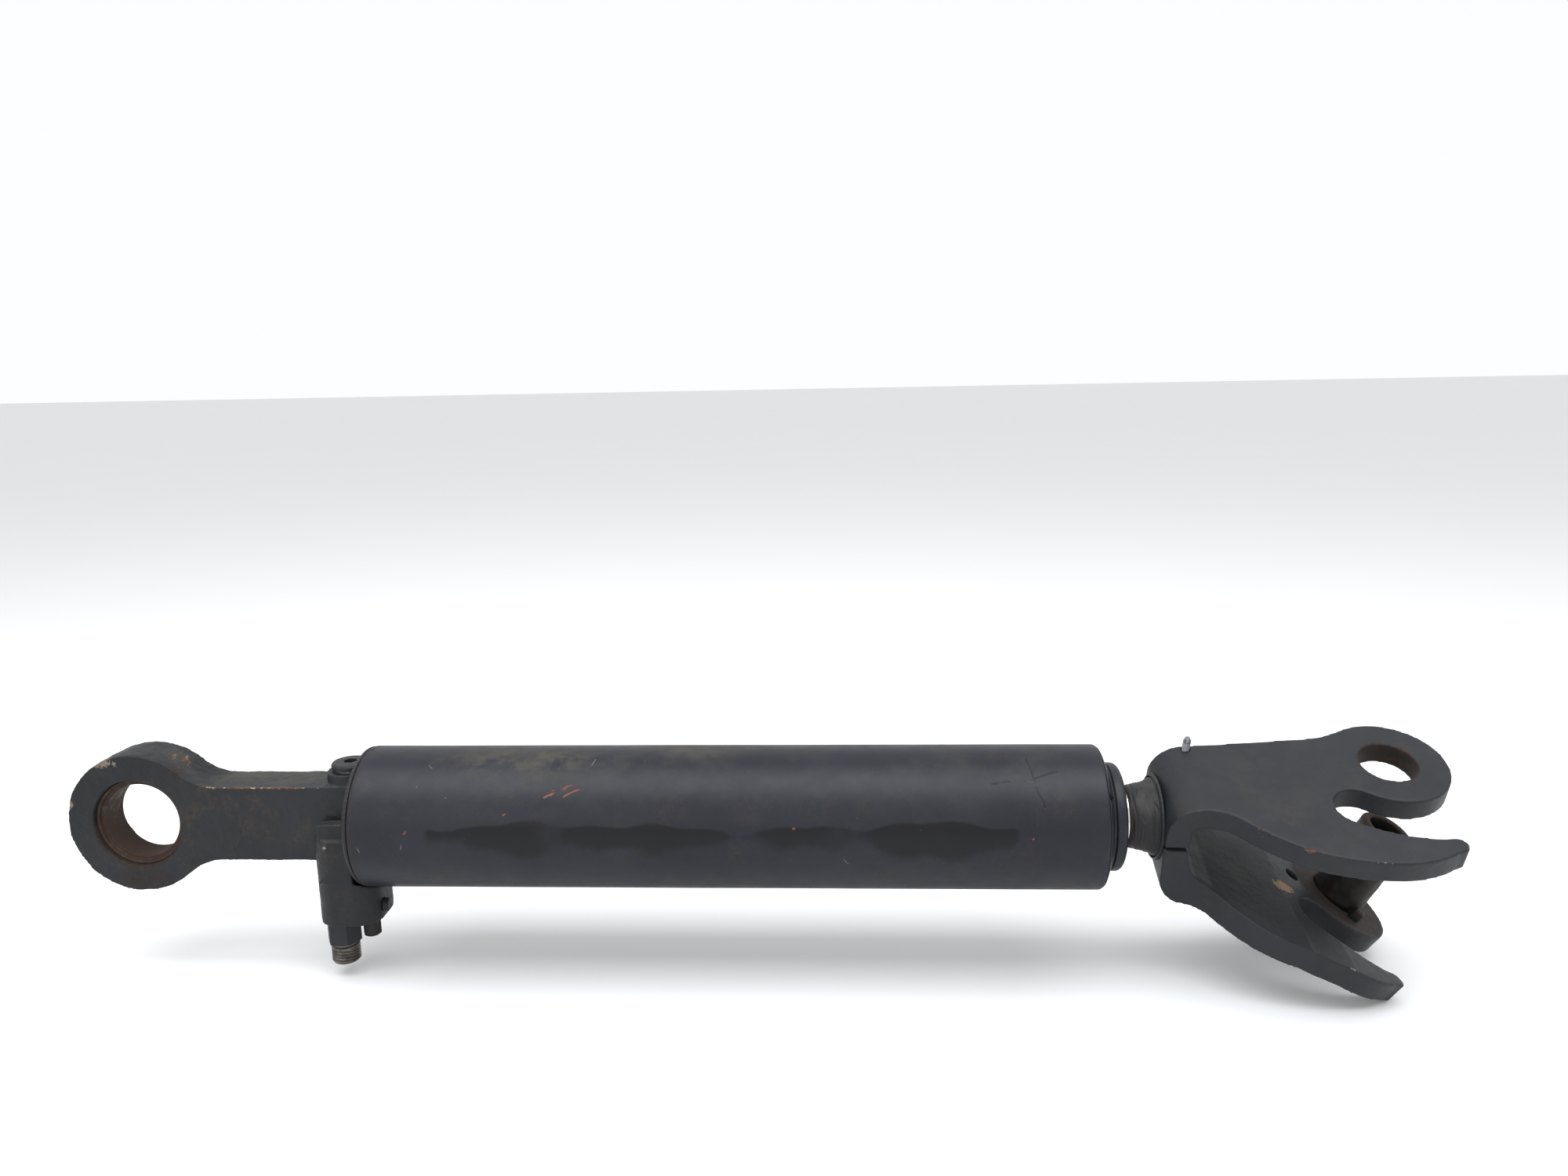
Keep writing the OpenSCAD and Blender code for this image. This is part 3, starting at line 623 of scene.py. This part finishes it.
# Three low bars on the shank, in place of the characters stamped there
STAMP_DEPTH = 2 * MM
stamp = [bar((x_low, face_y - proud, z_low), (x_high, face_y + STAMP_DEPTH, z_high))
         for x_low, x_high, z_low, z_high, proud in ((0.116, 0.132, -0.013, -0.0115, 0.0006),
                                                     (0.116, 0.1175, 0.0055, 0.0105, 0.0005),
                                                     (0.131, 0.1325, 0.003, 0.0105, 0.0005))]
mesh = cast("base_eye", 1.0 * MM, 5, stamp, ((0.02, 0.45), (0.006, 0.28), (0.0022, 0.16)))
co = places(mesh)
reach = np.hypot(co[:, 0], co[:, 2])
# Rust at the top and the foot of the eye, and along the shank's front edge
store(mesh, "rust", spots(co, ((-0.022, 0, 0.052), (0.034, 0.03, 0.02)),
                          ((0.03, 0, 0.047), (0.024, 0.03, 0.02)),
                          ((0.0, 0, -0.047), (0.035, 0.03, 0.012)),
                          ((0.1, face_y, 0.03), (0.07, 0.006, 0.004))))
store(mesh, "bare", spots(co, ((-0.024, face_y + 0.003, 0.05), (0.022, 0.009, 0.006)),
                          ((-0.053, face_y + 0.001, 0.016), (0.004, 0.004, 0.006))))
# Brown in the bore and round the bush, most on its lower half, and in two patches on the face
below = np.clip(0.4 - co[:, 2] / 0.03, 0.15, 1)
round_bush = np.clip((0.665 * eye_r - reach) / (1.5 * MM) + 0.5, 0, 1)
patches = spots(co, ((0, face_y, -0.045), (0.04, 0.01, 0.02)), ((0.036, face_y, 0.044), (0.02, 0.02, 0.012)))
store(mesh, "brown", np.maximum(below * round_bush, 0.55 * patches))
piece("base_eye_forging", mesh, "base_eye")

eye_bush_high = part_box("eye_bush")[1]
eye_bush_r, half = eye_bush_high.z, eye_bush_high.y
# The bore starts a step inside each end, and the step's wall opens outwards
step_y, mouth_r, step_r = 3.2 * MM, EYE_BORE_R + 3.4 * MM, EYE_BORE_R + 2.6 * MM
profile = rounded([(-half, mouth_r), (-half, eye_bush_r), (half, eye_bush_r), (half, mouth_r),
                   (half - step_y, step_r), (half - step_y, EYE_BORE_R),
                   (step_y - half, EYE_BORE_R), (step_y - half, step_r)], 0.7 * MM)


def scored(x, radius, turn):
    """The bush's bore, with shallow wear lines."""
    wear = 0.18 * MM * np.sin(x / (0.8 * MM)) * (radius < EYE_BORE_R + 0.5 * MM)
    return radius + np.abs(wear)


mesh = turned(densified(profile, 0.7 * MM), 160, Matrix.Rotation(math.radians(90), 4, "Z"), scored)
co = places(mesh)
deep = np.clip(1.2 - (np.hypot(co[:, 0], co[:, 2]) - EYE_BORE_R) / (3 * MM), 0.35, 1)
store(mesh, "brown", deep * np.clip(0.55 - co[:, 2] / 0.04, 0.2, 1))
piece("eye_bush_ring", mesh, "eye_bush")

tube_low, tube_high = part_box("barrel_tube")
tube_r = tube_high.z
mesh = cast("base_head", 0.9 * MM, 4, (), ((0.015, 0.2), (0.004, 0.12)))
piece("base_head_disc", mesh, "base_head")


def rippled(x, radius, turn):
    """The base weld's ripples."""
    bead = 0.28 * MM * np.abs(np.sin(turn * 46 + 0.6 * np.sin(turn * 7))) + 0.15 * MM * np.sin(turn * 11)
    return radius - bead * (radius > tube_r - 4.5 * MM)


weld_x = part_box("base_weld")[0].x
weld_root = tube_r - 4.4 * MM
# A quarter of a circle, from the tube's end down to the base head
weld_mid = Vector((tube_low.x - 0.6 * MM, tube_r - 3.8 * MM))
profile = [weld_mid + 3.7 * MM * Vector((math.cos(a), math.sin(a))) for a in
           (math.radians(90 + 9 * k) for k in range(11))]
profile += [Vector((weld_x, weld_root)), Vector((tube_low.x - 0.1 * MM, weld_root))]
piece("base_weld_bead", turned(profile, 384, shape=rippled), "base_weld")

# ---- barrel ----

profile = densified(rounded([(tube_low.x, tube_r - BARREL_WALL), (tube_low.x, tube_r), (tube_high.x, tube_r),
                             (tube_high.x, tube_r - BARREL_WALL)], 1.6 * MM), 1.7 * MM)


def dented(x, radius, turn):
    """The barrel's outside, slightly out of round, with a dent near its open end."""
    outside = radius > tube_r - 2 * MM
    uneven = 0.05 * MM * np.sin(x * 37 + 2 * np.sin(turn)) * np.sin(turn * 3 + x * 11)
    dent = np.exp(-((x - 0.699) / 0.012) ** 2 - ((turn - math.radians(48)) / 0.35) ** 2)
    return radius + outside * (uneven - 0.05 * MM - 0.45 * MM * dent)


mesh = turned(profile, 288, shape=dented)
co = places(mesh)
x, turn = co[:, 0], np.degrees(np.arctan2(co[:, 2], -co[:, 1]))
# The dark band painted along the front as a reflection. Its upper edge is sharp, its lower edge soft, and
# both wander
BAND_START, BAND_END, BAND_TOP, BAND_FOOT = 0.238, 0.69, 16, -17
along = ramp(np.minimum(x - BAND_START, BAND_END - x), 12 * MM)
wander = 2.5 * np.sin(x * 23) + 2 * np.sin(x * 61 + 1) + 1.2 * np.sin(x * 140)
run = ramp(BAND_TOP + wander - turn, 5) * ramp(turn - BAND_FOOT + 2 * wander, 20)
band_strength = 0.78 + 0.14 * np.sin(x * 31 + 0.5) + 0.12 * np.sin(x * 87)
store(mesh, "reflection_band", along * run * band_strength)
# Here a place is metres along the barrel and thousands of degrees round it
unrolled = np.stack([x, turn * MM, 0 * turn], 1)
store(mesh, "dusty", spots(unrolled, ((0.315, 0.07, 0), (0.085, 0.034, 1)),
                           ((0.44, 0.095, 0), (0.06, 0.03, 1))))
ends = np.minimum(np.abs(x - tube_low.x), np.abs(x - tube_high.x))
store(mesh, "edge", 0.42 * np.clip(1.4 - ends / (1.6 * MM), 0, 1))
store(mesh, "brown", 0.5 * np.clip(1.2 - (x - tube_low.x) / (9 * MM), 0, 1))
piece("barrel_shell", mesh, "barrel_tube")

O_RING_GROOVE = 2.9 * MM
WIPER_GROOVE = 4 * MM
SEAL_GROOVE = 5 * MM
GUIDE_GROOVE = 2.5 * MM
gland_low, gland_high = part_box("barrel_gland")
stage_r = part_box("stage_tube")[1].z
run_r = stage_r + 0.5 * MM
lip_r = 41.5 * MM
gland_r = tube_r - BARREL_WALL - 0.05 * MM
face_x = tube_high.x + 0.1 * MM
start_x, end_x = gland_low.x, gland_high.x
# The outside from the inner end to the lip, then the bore back again: wiper, seal and guide ring
profile = rounded(
    [(start_x, run_r), (start_x, gland_r),
     *grooves([(start_x + 10 * MM, start_x + 15 * MM, O_RING_GROOVE)], gland_r, True),
     (face_x, gland_r), (face_x, tube_r - 0.8 * MM), (face_x + 1.1 * MM, tube_r - 1.4 * MM),
     (end_x - 1.6 * MM, lip_r + 1.7 * MM), (end_x - 1.4 * MM, lip_r),
     (end_x, lip_r - 0.5 * MM), (end_x, run_r),
     *grooves([(end_x - 4.5 * MM, end_x - 11 * MM, 3.5 * MM),
               (start_x + 31 * MM, start_x + 22 * MM, SEAL_GROOVE),
               (start_x + 17 * MM, start_x + 5 * MM, GUIDE_GROOVE)], run_r, False)], 0.5 * MM)
SLOT_TURN = math.radians(37)
SLOT_HALF, SLOT_DEPTH = 2.6 * MM, 4.5 * MM


def slotted(x, radius, turn):
    """Spanner slots in the gland's cone."""
    off = np.abs((turn - SLOT_TURN + math.pi / 2) % math.pi - math.pi / 2) * radius
    on_cone = (x > face_x - 0.01 * MM) & (radius > lip_r + 2 * MM)
    return radius - SLOT_DEPTH * (ramp(SLOT_HALF - off, 0.6 * MM) * on_cone)


mesh = turned(densified(profile, 0.9 * MM), 432, shape=slotted)
co = places(mesh)
from_axis = np.hypot(co[:, 1], co[:, 2])
store(mesh, "edge", 0.4 * np.clip(1.5 - np.abs(from_axis - tube_r + 1 * MM) / (0.9 * MM), 0, 1))
piece("barrel_gland_cone", mesh, "barrel_gland")

# ---- middle stage ----

stage_low, stage_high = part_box("stage_tube")
# The collar's spigot sits in a wider end of the bore
seat_x, seat_r = stage_high.x - 40 * MM, stage_r - 4.8 * MM
profile = rounded([(stage_low.x, stage_r - STAGE_WALL), (stage_low.x, stage_r), (stage_high.x, stage_r),
                   (stage_high.x, seat_r), (seat_x, seat_r), (seat_x, stage_r - STAGE_WALL)], 0.6 * MM)
piece("stage_sleeve", turned(densified(profile, 8 * MM), 256), "stage_tube")

collar_low, collar_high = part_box("stage_collar")
collar_r = collar_high.z
cap_x = stage_high.x + 0.1 * MM
rod_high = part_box("rod")[1]
rod_r = rod_high.z
rod_run = rod_r + 0.5 * MM
spigot_r = 34.9 * MM
start_x, end_x = collar_low.x, collar_high.x
profile = rounded([(start_x, rod_run), (start_x, spigot_r),
                   *grooves([(start_x + 6 * MM, start_x + 11 * MM, O_RING_GROOVE)], spigot_r, True),
                   (cap_x, spigot_r), (cap_x, collar_r - 1.2 * MM), (cap_x + 1 * MM, collar_r)],
                  0.4 * MM, closed=False)
bend = 4.6 * MM
profile += [Vector((end_x - bend + bend * math.sin(a), collar_r - bend + bend * math.cos(a)))
            for a in (math.radians(10 * k) for k in range(10))]
# Two turned lines on the collar's face, then its bore: wiper, seal and guide ring
for line_r in (33 * MM, 28.5 * MM):
    profile += [Vector((end_x - depth, line_r + off)) for depth, off in
                ((0, 0.6 * MM), (0.7 * MM, 0.45 * MM), (0.7 * MM, -0.45 * MM), (0, -0.6 * MM))]
bore = [(end_x, rod_run), *grooves([(end_x - 2 * MM, end_x - 7 * MM, WIPER_GROOVE),
                                    (start_x + 29 * MM, start_x + 20 * MM, SEAL_GROOVE),
                                    (start_x + 16 * MM, start_x + 4 * MM, GUIDE_GROOVE)], rod_run, False)]
profile += rounded(bore, 0.4 * MM, closed=False)
mesh = turned(densified(profile, 0.9 * MM), 288)
store(mesh, "brown", 0.5 * (places(mesh)[:, 0] > end_x - 0.5 * MM))
piece("stage_collar_ring", mesh, "stage_collar")

# ---- rod ----

rod_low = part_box("rod")[0]
# The thinner tail takes the nut and the stop ring, and the groove takes the bearing ring
tail, tail_r = rod_low.x, 15 * MM
shoulder = tail + 16 * MM
groove_start, groove_end, groove_r = tail + 25.6 * MM, tail + 46.4 * MM, rod_r - GUIDE_GROOVE
profile = [(tail, 0.0), (tail, tail_r - 1.5 * MM), (tail + 1.5 * MM, tail_r), (shoulder, tail_r),
           (shoulder, rod_r), (groove_start, rod_r), (groove_start, groove_r),
           (groove_end, groove_r), (groove_end, rod_r), (rod_high.x, rod_r), (rod_high.x, 0.0)]
profile = rounded(profile, 0.4 * MM, closed=False)
piece("rod_bar", turned(densified(profile, 8 * MM), 224), "rod")

neck_low, neck_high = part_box("rod_neck")
neck_r = neck_high.z
profile = [(neck_low.x, rod_r + 0.05 * MM), (neck_low.x, rod_r + 0.6 * MM)]
# The flare, as shares of the way along the neck and out to its radius
for x_share, r_share in ((0.05, 0.1), (0.18, 0.22), (0.35, 0.34), (0.52, 0.42),
                         (0.68, 0.56), (0.84, 0.78), (0.99, 0.99)):
    profile.append((neck_low.x + x_share * (neck_high.x - neck_low.x), rod_r + r_share * (neck_r - rod_r)))
profile.append((neck_high.x, rod_r + 0.05 * MM))


def cracked(x, radius, turn):
    """The neck's wrinkled and cracked paint."""
    def wrinkle(p):
        crack = abs(noise.noise(p + Vector((3, 7, 1)))) * 8
        return 0.45 * noise.noise(p * 1.6) - 0.75 * max(0.0, 1 - crack)

    out = radius > rod_r + 0.5 * MM
    return radius + out * over_ring(x, turn, 260, 0.7, wrinkle) * MM * 0.8 - 0.25 * MM * out


mesh = turned(densified(rounded(profile, 0.8 * MM), 0.7 * MM), 320, shape=cracked)
co = places(mesh)
store(mesh, "brown", 0.75 * np.clip(1.3 - (co[:, 0] - neck_low.x) / (3 * MM), 0, 1))
piece("rod_neck_flare", mesh, "rod_neck")

bead_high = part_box("neck_weld")[1]
bead_r = bead_high.z


def bead(x, radius, turn):
    """The neck weld's ripples."""
    ripple = 0.3 * MM * np.abs(np.sin(turn * 27 + 0.8 * np.sin(turn * 5))) + 0.2 * MM * np.sin(turn * 9)
    return radius - 0.6 * ripple * (radius > bead_r - 1.8 * MM)


profile = [Vector((bead_high.x - 2.2 * MM * math.sin(a), bead_r - 2.3 * MM + 2.2 * MM * math.cos(a)))
           for a in (math.radians(10 * k) for k in range(10))]
profile.append(Vector((bead_high.x, bead_r - 2.35 * MM)))
piece("neck_weld_bead", turned(profile, 320, shape=bead), "neck_weld")

# ---- ports ----

block_low, block_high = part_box("port_block")
front_y = block_low.y
# A low rib and a knob on the block's front
RIB_LOW, RIB_HIGH, KNOB_Z = -43.6 * MM, -42.4 * MM, -13.4 * MM
pads = [bar((PORT_XY[0] - 8 * MM, front_y - 0.4 * MM, RIB_LOW),
            (PORT_XY[0] + 7 * MM, front_y + 3 * MM, RIB_HIGH)),
        knob((PORT_XY[0], front_y + 1.4 * MM, KNOB_Z), 3 * MM)]
mesh = cast("port_block", 0.8 * MM, 9, pads, ((0.015, 0.3), (0.004, 0.15)))
co = places(mesh)
# A bright spot on the knob's front: a painted highlight
store(mesh, "bare", spots(co, ((PORT_XY[0], front_y - 1 * MM, KNOB_Z), (0.0025, 0.002, 0.0022))))
piece("port_block_casting", mesh, "port_block")

adapter_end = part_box("port_adapter")[0].z
port_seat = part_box("port_seal")[0].z
# Along the adapter from its seat: hexagon, neck, thread and open end
hex_h, hex_corner, shank_r, neck_r, thread_r = 19 * MM, 13.8 * MM, 9 * MM, 9.7 * MM, 11 * MM
thread_start, reach = hex_h + 2.4 * MM, port_seat - adapter_end
THREAD_DEPTH = 1.35 * MM
profile = rounded([(-24 * MM, PORT_BORE_R), (-24 * MM, shank_r), (0, shank_r), (0, hex_corner - 1.4 * MM),
                   (0.8 * MM, hex_corner), (hex_h - 0.9 * MM, hex_corner), (hex_h, hex_corner - 1.5 * MM),
                   (hex_h, neck_r), (hex_h + 2.2 * MM, neck_r), (hex_h + 3 * MM, thread_r),
                   (reach - 1.4 * MM, thread_r), (reach, thread_r - 1.6 * MM),
                   (reach, PORT_BORE_R + 0.6 * MM), (reach - 0.6 * MM, PORT_BORE_R)], 0.25 * MM, steps=3)
flats = hexagon(24 * MM)


def adapter(x, radius, turn):
    """Hexagon near the block, thread below it."""
    on_thread = (x > thread_start) & (radius > thread_r - 0.9 * MM)
    threaded = radius - THREAD_DEPTH * thread_cut(x, turn, THREAD_PITCH, thread_start, reach, 1.3, 0.15)
    return np.where(on_thread, threaded, flats(x, radius, turn))


mesh = turned(densified(profile, 0.22 * MM), 144, upright(*PORT_XY, port_seat, down=True), adapter)
out = port_seat - places(mesh)[:, 2]
store(mesh, "painted", ramp(hex_h + 1 * MM - out, 1 * MM))
store(mesh, "brown", 0.45 * ramp(out - hex_h, 8 * MM))
piece("port_adapter_nipple", mesh, "port_adapter")


def hex_head(name, node, place, across, head, flange_r, shank_r, shank):
    """A plug: hexagon, flange and shank; x runs from the seat outwards."""
    corner_r = across / 2 / math.cos(math.pi / 6)
    outline = rounded([(-shank, 0.6 * MM), (-shank, shank_r), (0, shank_r), (0, flange_r - 0.3 * MM),
                       (0.9 * MM, flange_r), (1.9 * MM, flange_r - 0.6 * MM), (2.4 * MM, corner_r),
                       (head - 1.6 * MM, corner_r), (head, 0.42 * across), (head, 0.6 * MM)],
                      0.35 * MM, steps=3)
    sides = hexagon(across)

    def shape(x, radius, turn):
        return np.where((x > 2 * MM) & (radius > 0.3 * across), sides(x, radius, turn), radius)

    mesh = turned(densified(outline, 1.2 * MM), 144, place, shape)
    return piece(name, mesh, node)


plug_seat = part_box("blanking_plug")[1].z - 12 * MM
hex_head("blanking_plug_head", "blanking_plug", upright(*PLUG_XY, plug_seat, down=True), across=13 * MM,
         head=plug_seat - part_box("blanking_plug")[0].z, flange_r=6.9 * MM, shank_r=5 * MM, shank=11.9 * MM)
side_low, side_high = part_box("side_plug")
side_seat = Matrix.Translation((block_high.x + 0.06 * MM, PORT_XY[1], (side_low.z + side_high.z) / 2))
hex_head("side_plug_head", "side_plug", side_seat, across=10 * MM,
         head=side_high.x - block_high.x - 0.1 * MM, flange_r=5.5 * MM, shank_r=3.4 * MM, shank=0.01 * MM)

bleed_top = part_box("bleed_plug")[1].z
disc_r = 14.5 * MM
disc_h = bleed_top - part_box("bleed_washer")[1].z
shank, shank_r = 18 * MM, 9 * MM
socket_r = 5.4 * MM
floor_h = disc_h - 4.5 * MM
profile = rounded([(-shank, 0.5 * MM), (-shank, shank_r), (0, shank_r), (0, disc_r),
                   (disc_h - 1.7 * MM, disc_r), (disc_h, disc_r - 1.4 * MM),
                   (disc_h, socket_r + 0.7 * MM), (disc_h - 0.8 * MM, socket_r),
                   (floor_h, socket_r), (floor_h, 0.5 * MM)], 0.35 * MM)
socket = hexagon(2 * socket_r * math.cos(math.pi / 6))


def socketed(x, radius, turn):
    """The bleed plug's hexagon socket."""
    return np.where(np.abs(radius - socket_r) < 1.2 * MM, socket(x, radius, turn), radius)


mesh = turned(densified(profile, 0.8 * MM), 144, upright(BLEED_X, 0, bleed_top - disc_h), socketed)
piece("bleed_plug_disc", mesh, "bleed_plug")

# ---- fork ----

def from_hole(own):
    """Distance from the axis of a cheek's hole, in the cheek's own frame."""
    return np.hypot(own[:, 0] - HUB[0], own[:, 1] - HUB[1])


def in_hole(own):
    """1 in a cheek's hole and at its rim."""
    return ramp(HOLE_R + 1.3 * MM - from_hole(own), 1.6 * MM)


mesh = cast("fork_upper_cheek", 1.0 * MM, 7, (), ((0.05, 0.3), (0.012, 0.1), (0.003, 0.04)))
own = in_frame(places(mesh), upper_frame)
store(mesh, "rust", spots(own, ((0.053, -0.058, -0.004), (0.014, 0.012, 0.007)),
                          ((0.19, -0.068, -0.01), (0.014, 0.012, 0.02)),
                          ((0.079, -0.0755, -0.002), (0.022, 0.006, 0.004))))
store(mesh, "bare", 0.7 * spots(own, ((0.122, -0.0873, 0), (0.014, 0.002, 0.0014)),
                                ((0.154, 0.057, 0), (0.004, 0.0015, 0.0015))))
store(mesh, "brown", np.maximum(in_hole(own), 0.62 * ramp(HOLE_R + 5 * MM - from_hole(own), 4 * MM)))
piece("fork_upper_arm", mesh, "fork_upper_cheek")

mesh = cast("fork_lower_cheek", 1.0 * MM, 7, (), ((0.05, 0.3), (0.012, 0.12), (0.003, 0.05)))
own = in_frame(places(mesh), lower_frame)
inside = own[:, 2] > CHEEK_T - 1.2 * MM
store(mesh, "rust", spots(own, ((0.19, -0.068, 0.01), (0.014, 0.012, 0.02)),
                          ((0.205, 0.0, 0.015), (0.014, 0.03, 0.012))))
# Bare streaks along the inner face's edge: paint chips, and a painted highlight along that edge
store(mesh, "bare", 0.85 * spots(own, ((0.088, -0.08, CHEEK_T), (0.009, 0.0025, 0.0014)),
                                 ((0.106, -0.0845, CHEEK_T), (0.009, 0.002, 0.0012)),
                                 ((0.13, -0.087, CHEEK_T), (0.008, 0.002, 0.0012))))
store(mesh, "yellow", 0.95 * spots(own, ((0.099, -0.0155, CHEEK_T), (0.017, 0.0095, 0.004))))
store(mesh, "brown", np.maximum(in_hole(own), 0.72 * inside * ramp(HUB_R + 5 * MM - from_hole(own), 9 * MM)))
piece("fork_lower_arm", mesh, "fork_lower_cheek")

# In the bush's own frame its axis is Z, from the cheek's inner face
bush_top, bush_r, well_r = 72.3 * MM, 20.3 * MM, 14 * MM
plug_end, plug_r, collar_foot = -14 * MM, 17.4 * MM, 3.4 * MM
rim, well_floor = bush_top - 0.2 * MM, bush_top - 24 * MM
profile = rounded([(plug_end, 2 * MM), (plug_end, plug_r), (collar_foot, plug_r), (collar_foot, bush_r),
                   (rim - 2 * MM, bush_r), (rim, bush_r - 2 * MM), (rim, well_r + 1 * MM),
                   (rim - 1.2 * MM, well_r), (well_floor, well_r), (well_floor, 2 * MM)], 0.6 * MM)


def pitted(x, radius, turn):
    """Rust pits all over."""
    return radius + 0.25 * MM * (over_ring(x, turn, 160, 3.2, noise.noise) - 0.4)


bush_frame = (lower_frame @ Matrix.Translation((*HUB, CHEEK_T)) @ Matrix.Rotation(BUSH_LEAN[1], 4, "Y")
              @ Matrix.Rotation(BUSH_LEAN[0], 4, "X"))
mesh = turned(densified(profile, 1.1 * MM), 144, bush_frame @ upright(0, 0), pitted)
own = in_frame(places(mesh), bush_frame)
from_axis = np.hypot(own[:, 0], own[:, 1])
# Brown on the bush's upper end, but not down in its well
store(mesh, "brown", 0.8 * ramp(own[:, 2] - bush_top + 4 * MM, 3 * MM) * ramp(from_axis - 11 * MM, 4 * MM))
piece("fork_bush_sleeve", mesh, "fork_bush")

key_r, key_foot, key_top = 4.4 * MM, CHEEK_T + 0.1 * MM, CHEEK_T + 8.9 * MM
profile = rounded([(key_foot, 0.3 * MM), (key_foot, key_r), (key_top - 1.1 * MM, key_r),
                   (key_top, key_r - 1.2 * MM), (key_top, 0.3 * MM)], 0.6 * MM)
key_place = lower_frame @ upright(HUB[0] + 4 * MM, HUB[1] - 25.6 * MM)
piece("bush_key_pin", turned(densified(profile, 0.8 * MM), 96, key_place, pitted), "bush_key")

screw_len, screw_r, point_r = 18.9 * MM, 2.95 * MM, 1.8 * MM
thread_end = screw_len - 3.1 * MM
profile = rounded([(0, 0.3 * MM), (0, screw_r), (thread_end, screw_r), (screw_len, point_r),
                   (screw_len, 0.3 * MM)], 0.3 * MM)


def threaded_screw(x, radius, turn):
    """The lock screw's fine thread."""
    cut = 0.5 * MM * thread_cut(x, turn, 1 * MM, 0, thread_end, 1.25, 0.12)
    return np.where(radius > screw_r - 0.3 * MM, radius - cut, radius)


screw_place = upper_frame @ upright(20 * MM, 31 * MM, -7.9 * MM)
mesh = turned(densified(profile, 0.18 * MM), 96, screw_place, threaded_screw)
piece("lock_screw_tip", mesh, "lock_screw")

# ---- CAD nodes that stay ----

for name, node in nodes.items():
    if node.hide_render:
        continue
    for slot in node.material_slots:
        slot.material = finishes[slot_of[name]]
    if not node.material_slots:
        node.data.materials.append(finishes[slot_of[name]])

# ---- floor, light and camera ----

FLOOR_SIZE = 60.0
FLOOR_LIGHT, FLOOR_DARK = (0.76, 0.76, 0.76), (0.74, 0.74, 0.74)
bpy.ops.mesh.primitive_plane_add(size=FLOOR_SIZE, location=(0.5, 2.0, cad_low.z - 0.5 * MM))
floor = bpy.context.object
floor.name = "floor"
ground = Finish("floor_pale")
ground.set(Base_Color=ground.mix(ground.noise(3, 2.0), FLOOR_LIGHT, FLOOR_DARK), Roughness=0.8)
floor.data.materials.append(ground.material)

world = bpy.data.worlds.new("studio")
bpy.context.scene.world = world
world.use_nodes = True
background = world.node_tree.nodes["Background"]
background.inputs["Color"].default_value = (0.98, 0.99, 1.0, 1.0)
background.inputs["Strength"].default_value = 1.0


def soft_light(name, place, aim, size, power, colour):
    """A large area light that looks at a point."""
    lamp = bpy.data.lights.new(name, "AREA")
    lamp.shape = "RECTANGLE"
    lamp.size, lamp.size_y = size
    lamp.energy = power
    lamp.color = colour
    obj = bpy.data.objects.new(name, lamp)
    obj.location = place
    obj.rotation_euler = (Vector(aim) - Vector(place)).to_track_quat("-Z", "Y").to_euler()
    bpy.context.scene.collection.objects.link(obj)


middle = (cad_low + cad_high) / 2
soft_light("sky", (middle.x, middle.y - 0.5, 1.9), middle, (3.2, 1.4), 62, (0.93, 0.96, 1.0))
soft_light("front", (middle.x - 0.6, -2.4, 0.9), middle, (1.8, 1.0), 8, (1.0, 0.98, 0.95))

# The camera, as fitted to the photograph: it looks along Y, a little down and a little to the left
CAMERA_PLACE = (559.5 * MM, -850.8 * MM, 340.4 * MM)
YAW, PITCH, ROLL = math.radians(-3.1), math.radians(10.6), math.radians(1.1)
forward = Vector((math.sin(YAW) * math.cos(PITCH), math.cos(YAW) * math.cos(PITCH), -math.sin(PITCH)))
level = Vector((math.cos(YAW), -math.sin(YAW), 0))
right = Matrix.Rotation(ROLL, 3, forward) @ level
camera_data = bpy.data.cameras.new("camera")
camera_data.sensor_width = 36
camera_data.lens = 26.46
camera_data.clip_start = 0.02
camera = bpy.data.objects.new("camera", camera_data)
up = right.cross(forward)
camera.matrix_world = Matrix.Translation(CAMERA_PLACE) @ Matrix((right, up, -forward)).transposed().to_4x4()
bpy.context.scene.collection.objects.link(camera)
bpy.context.scene.camera = camera
bpy.context.scene.view_settings.view_transform = "Standard"

bpy.context.view_layer.update()
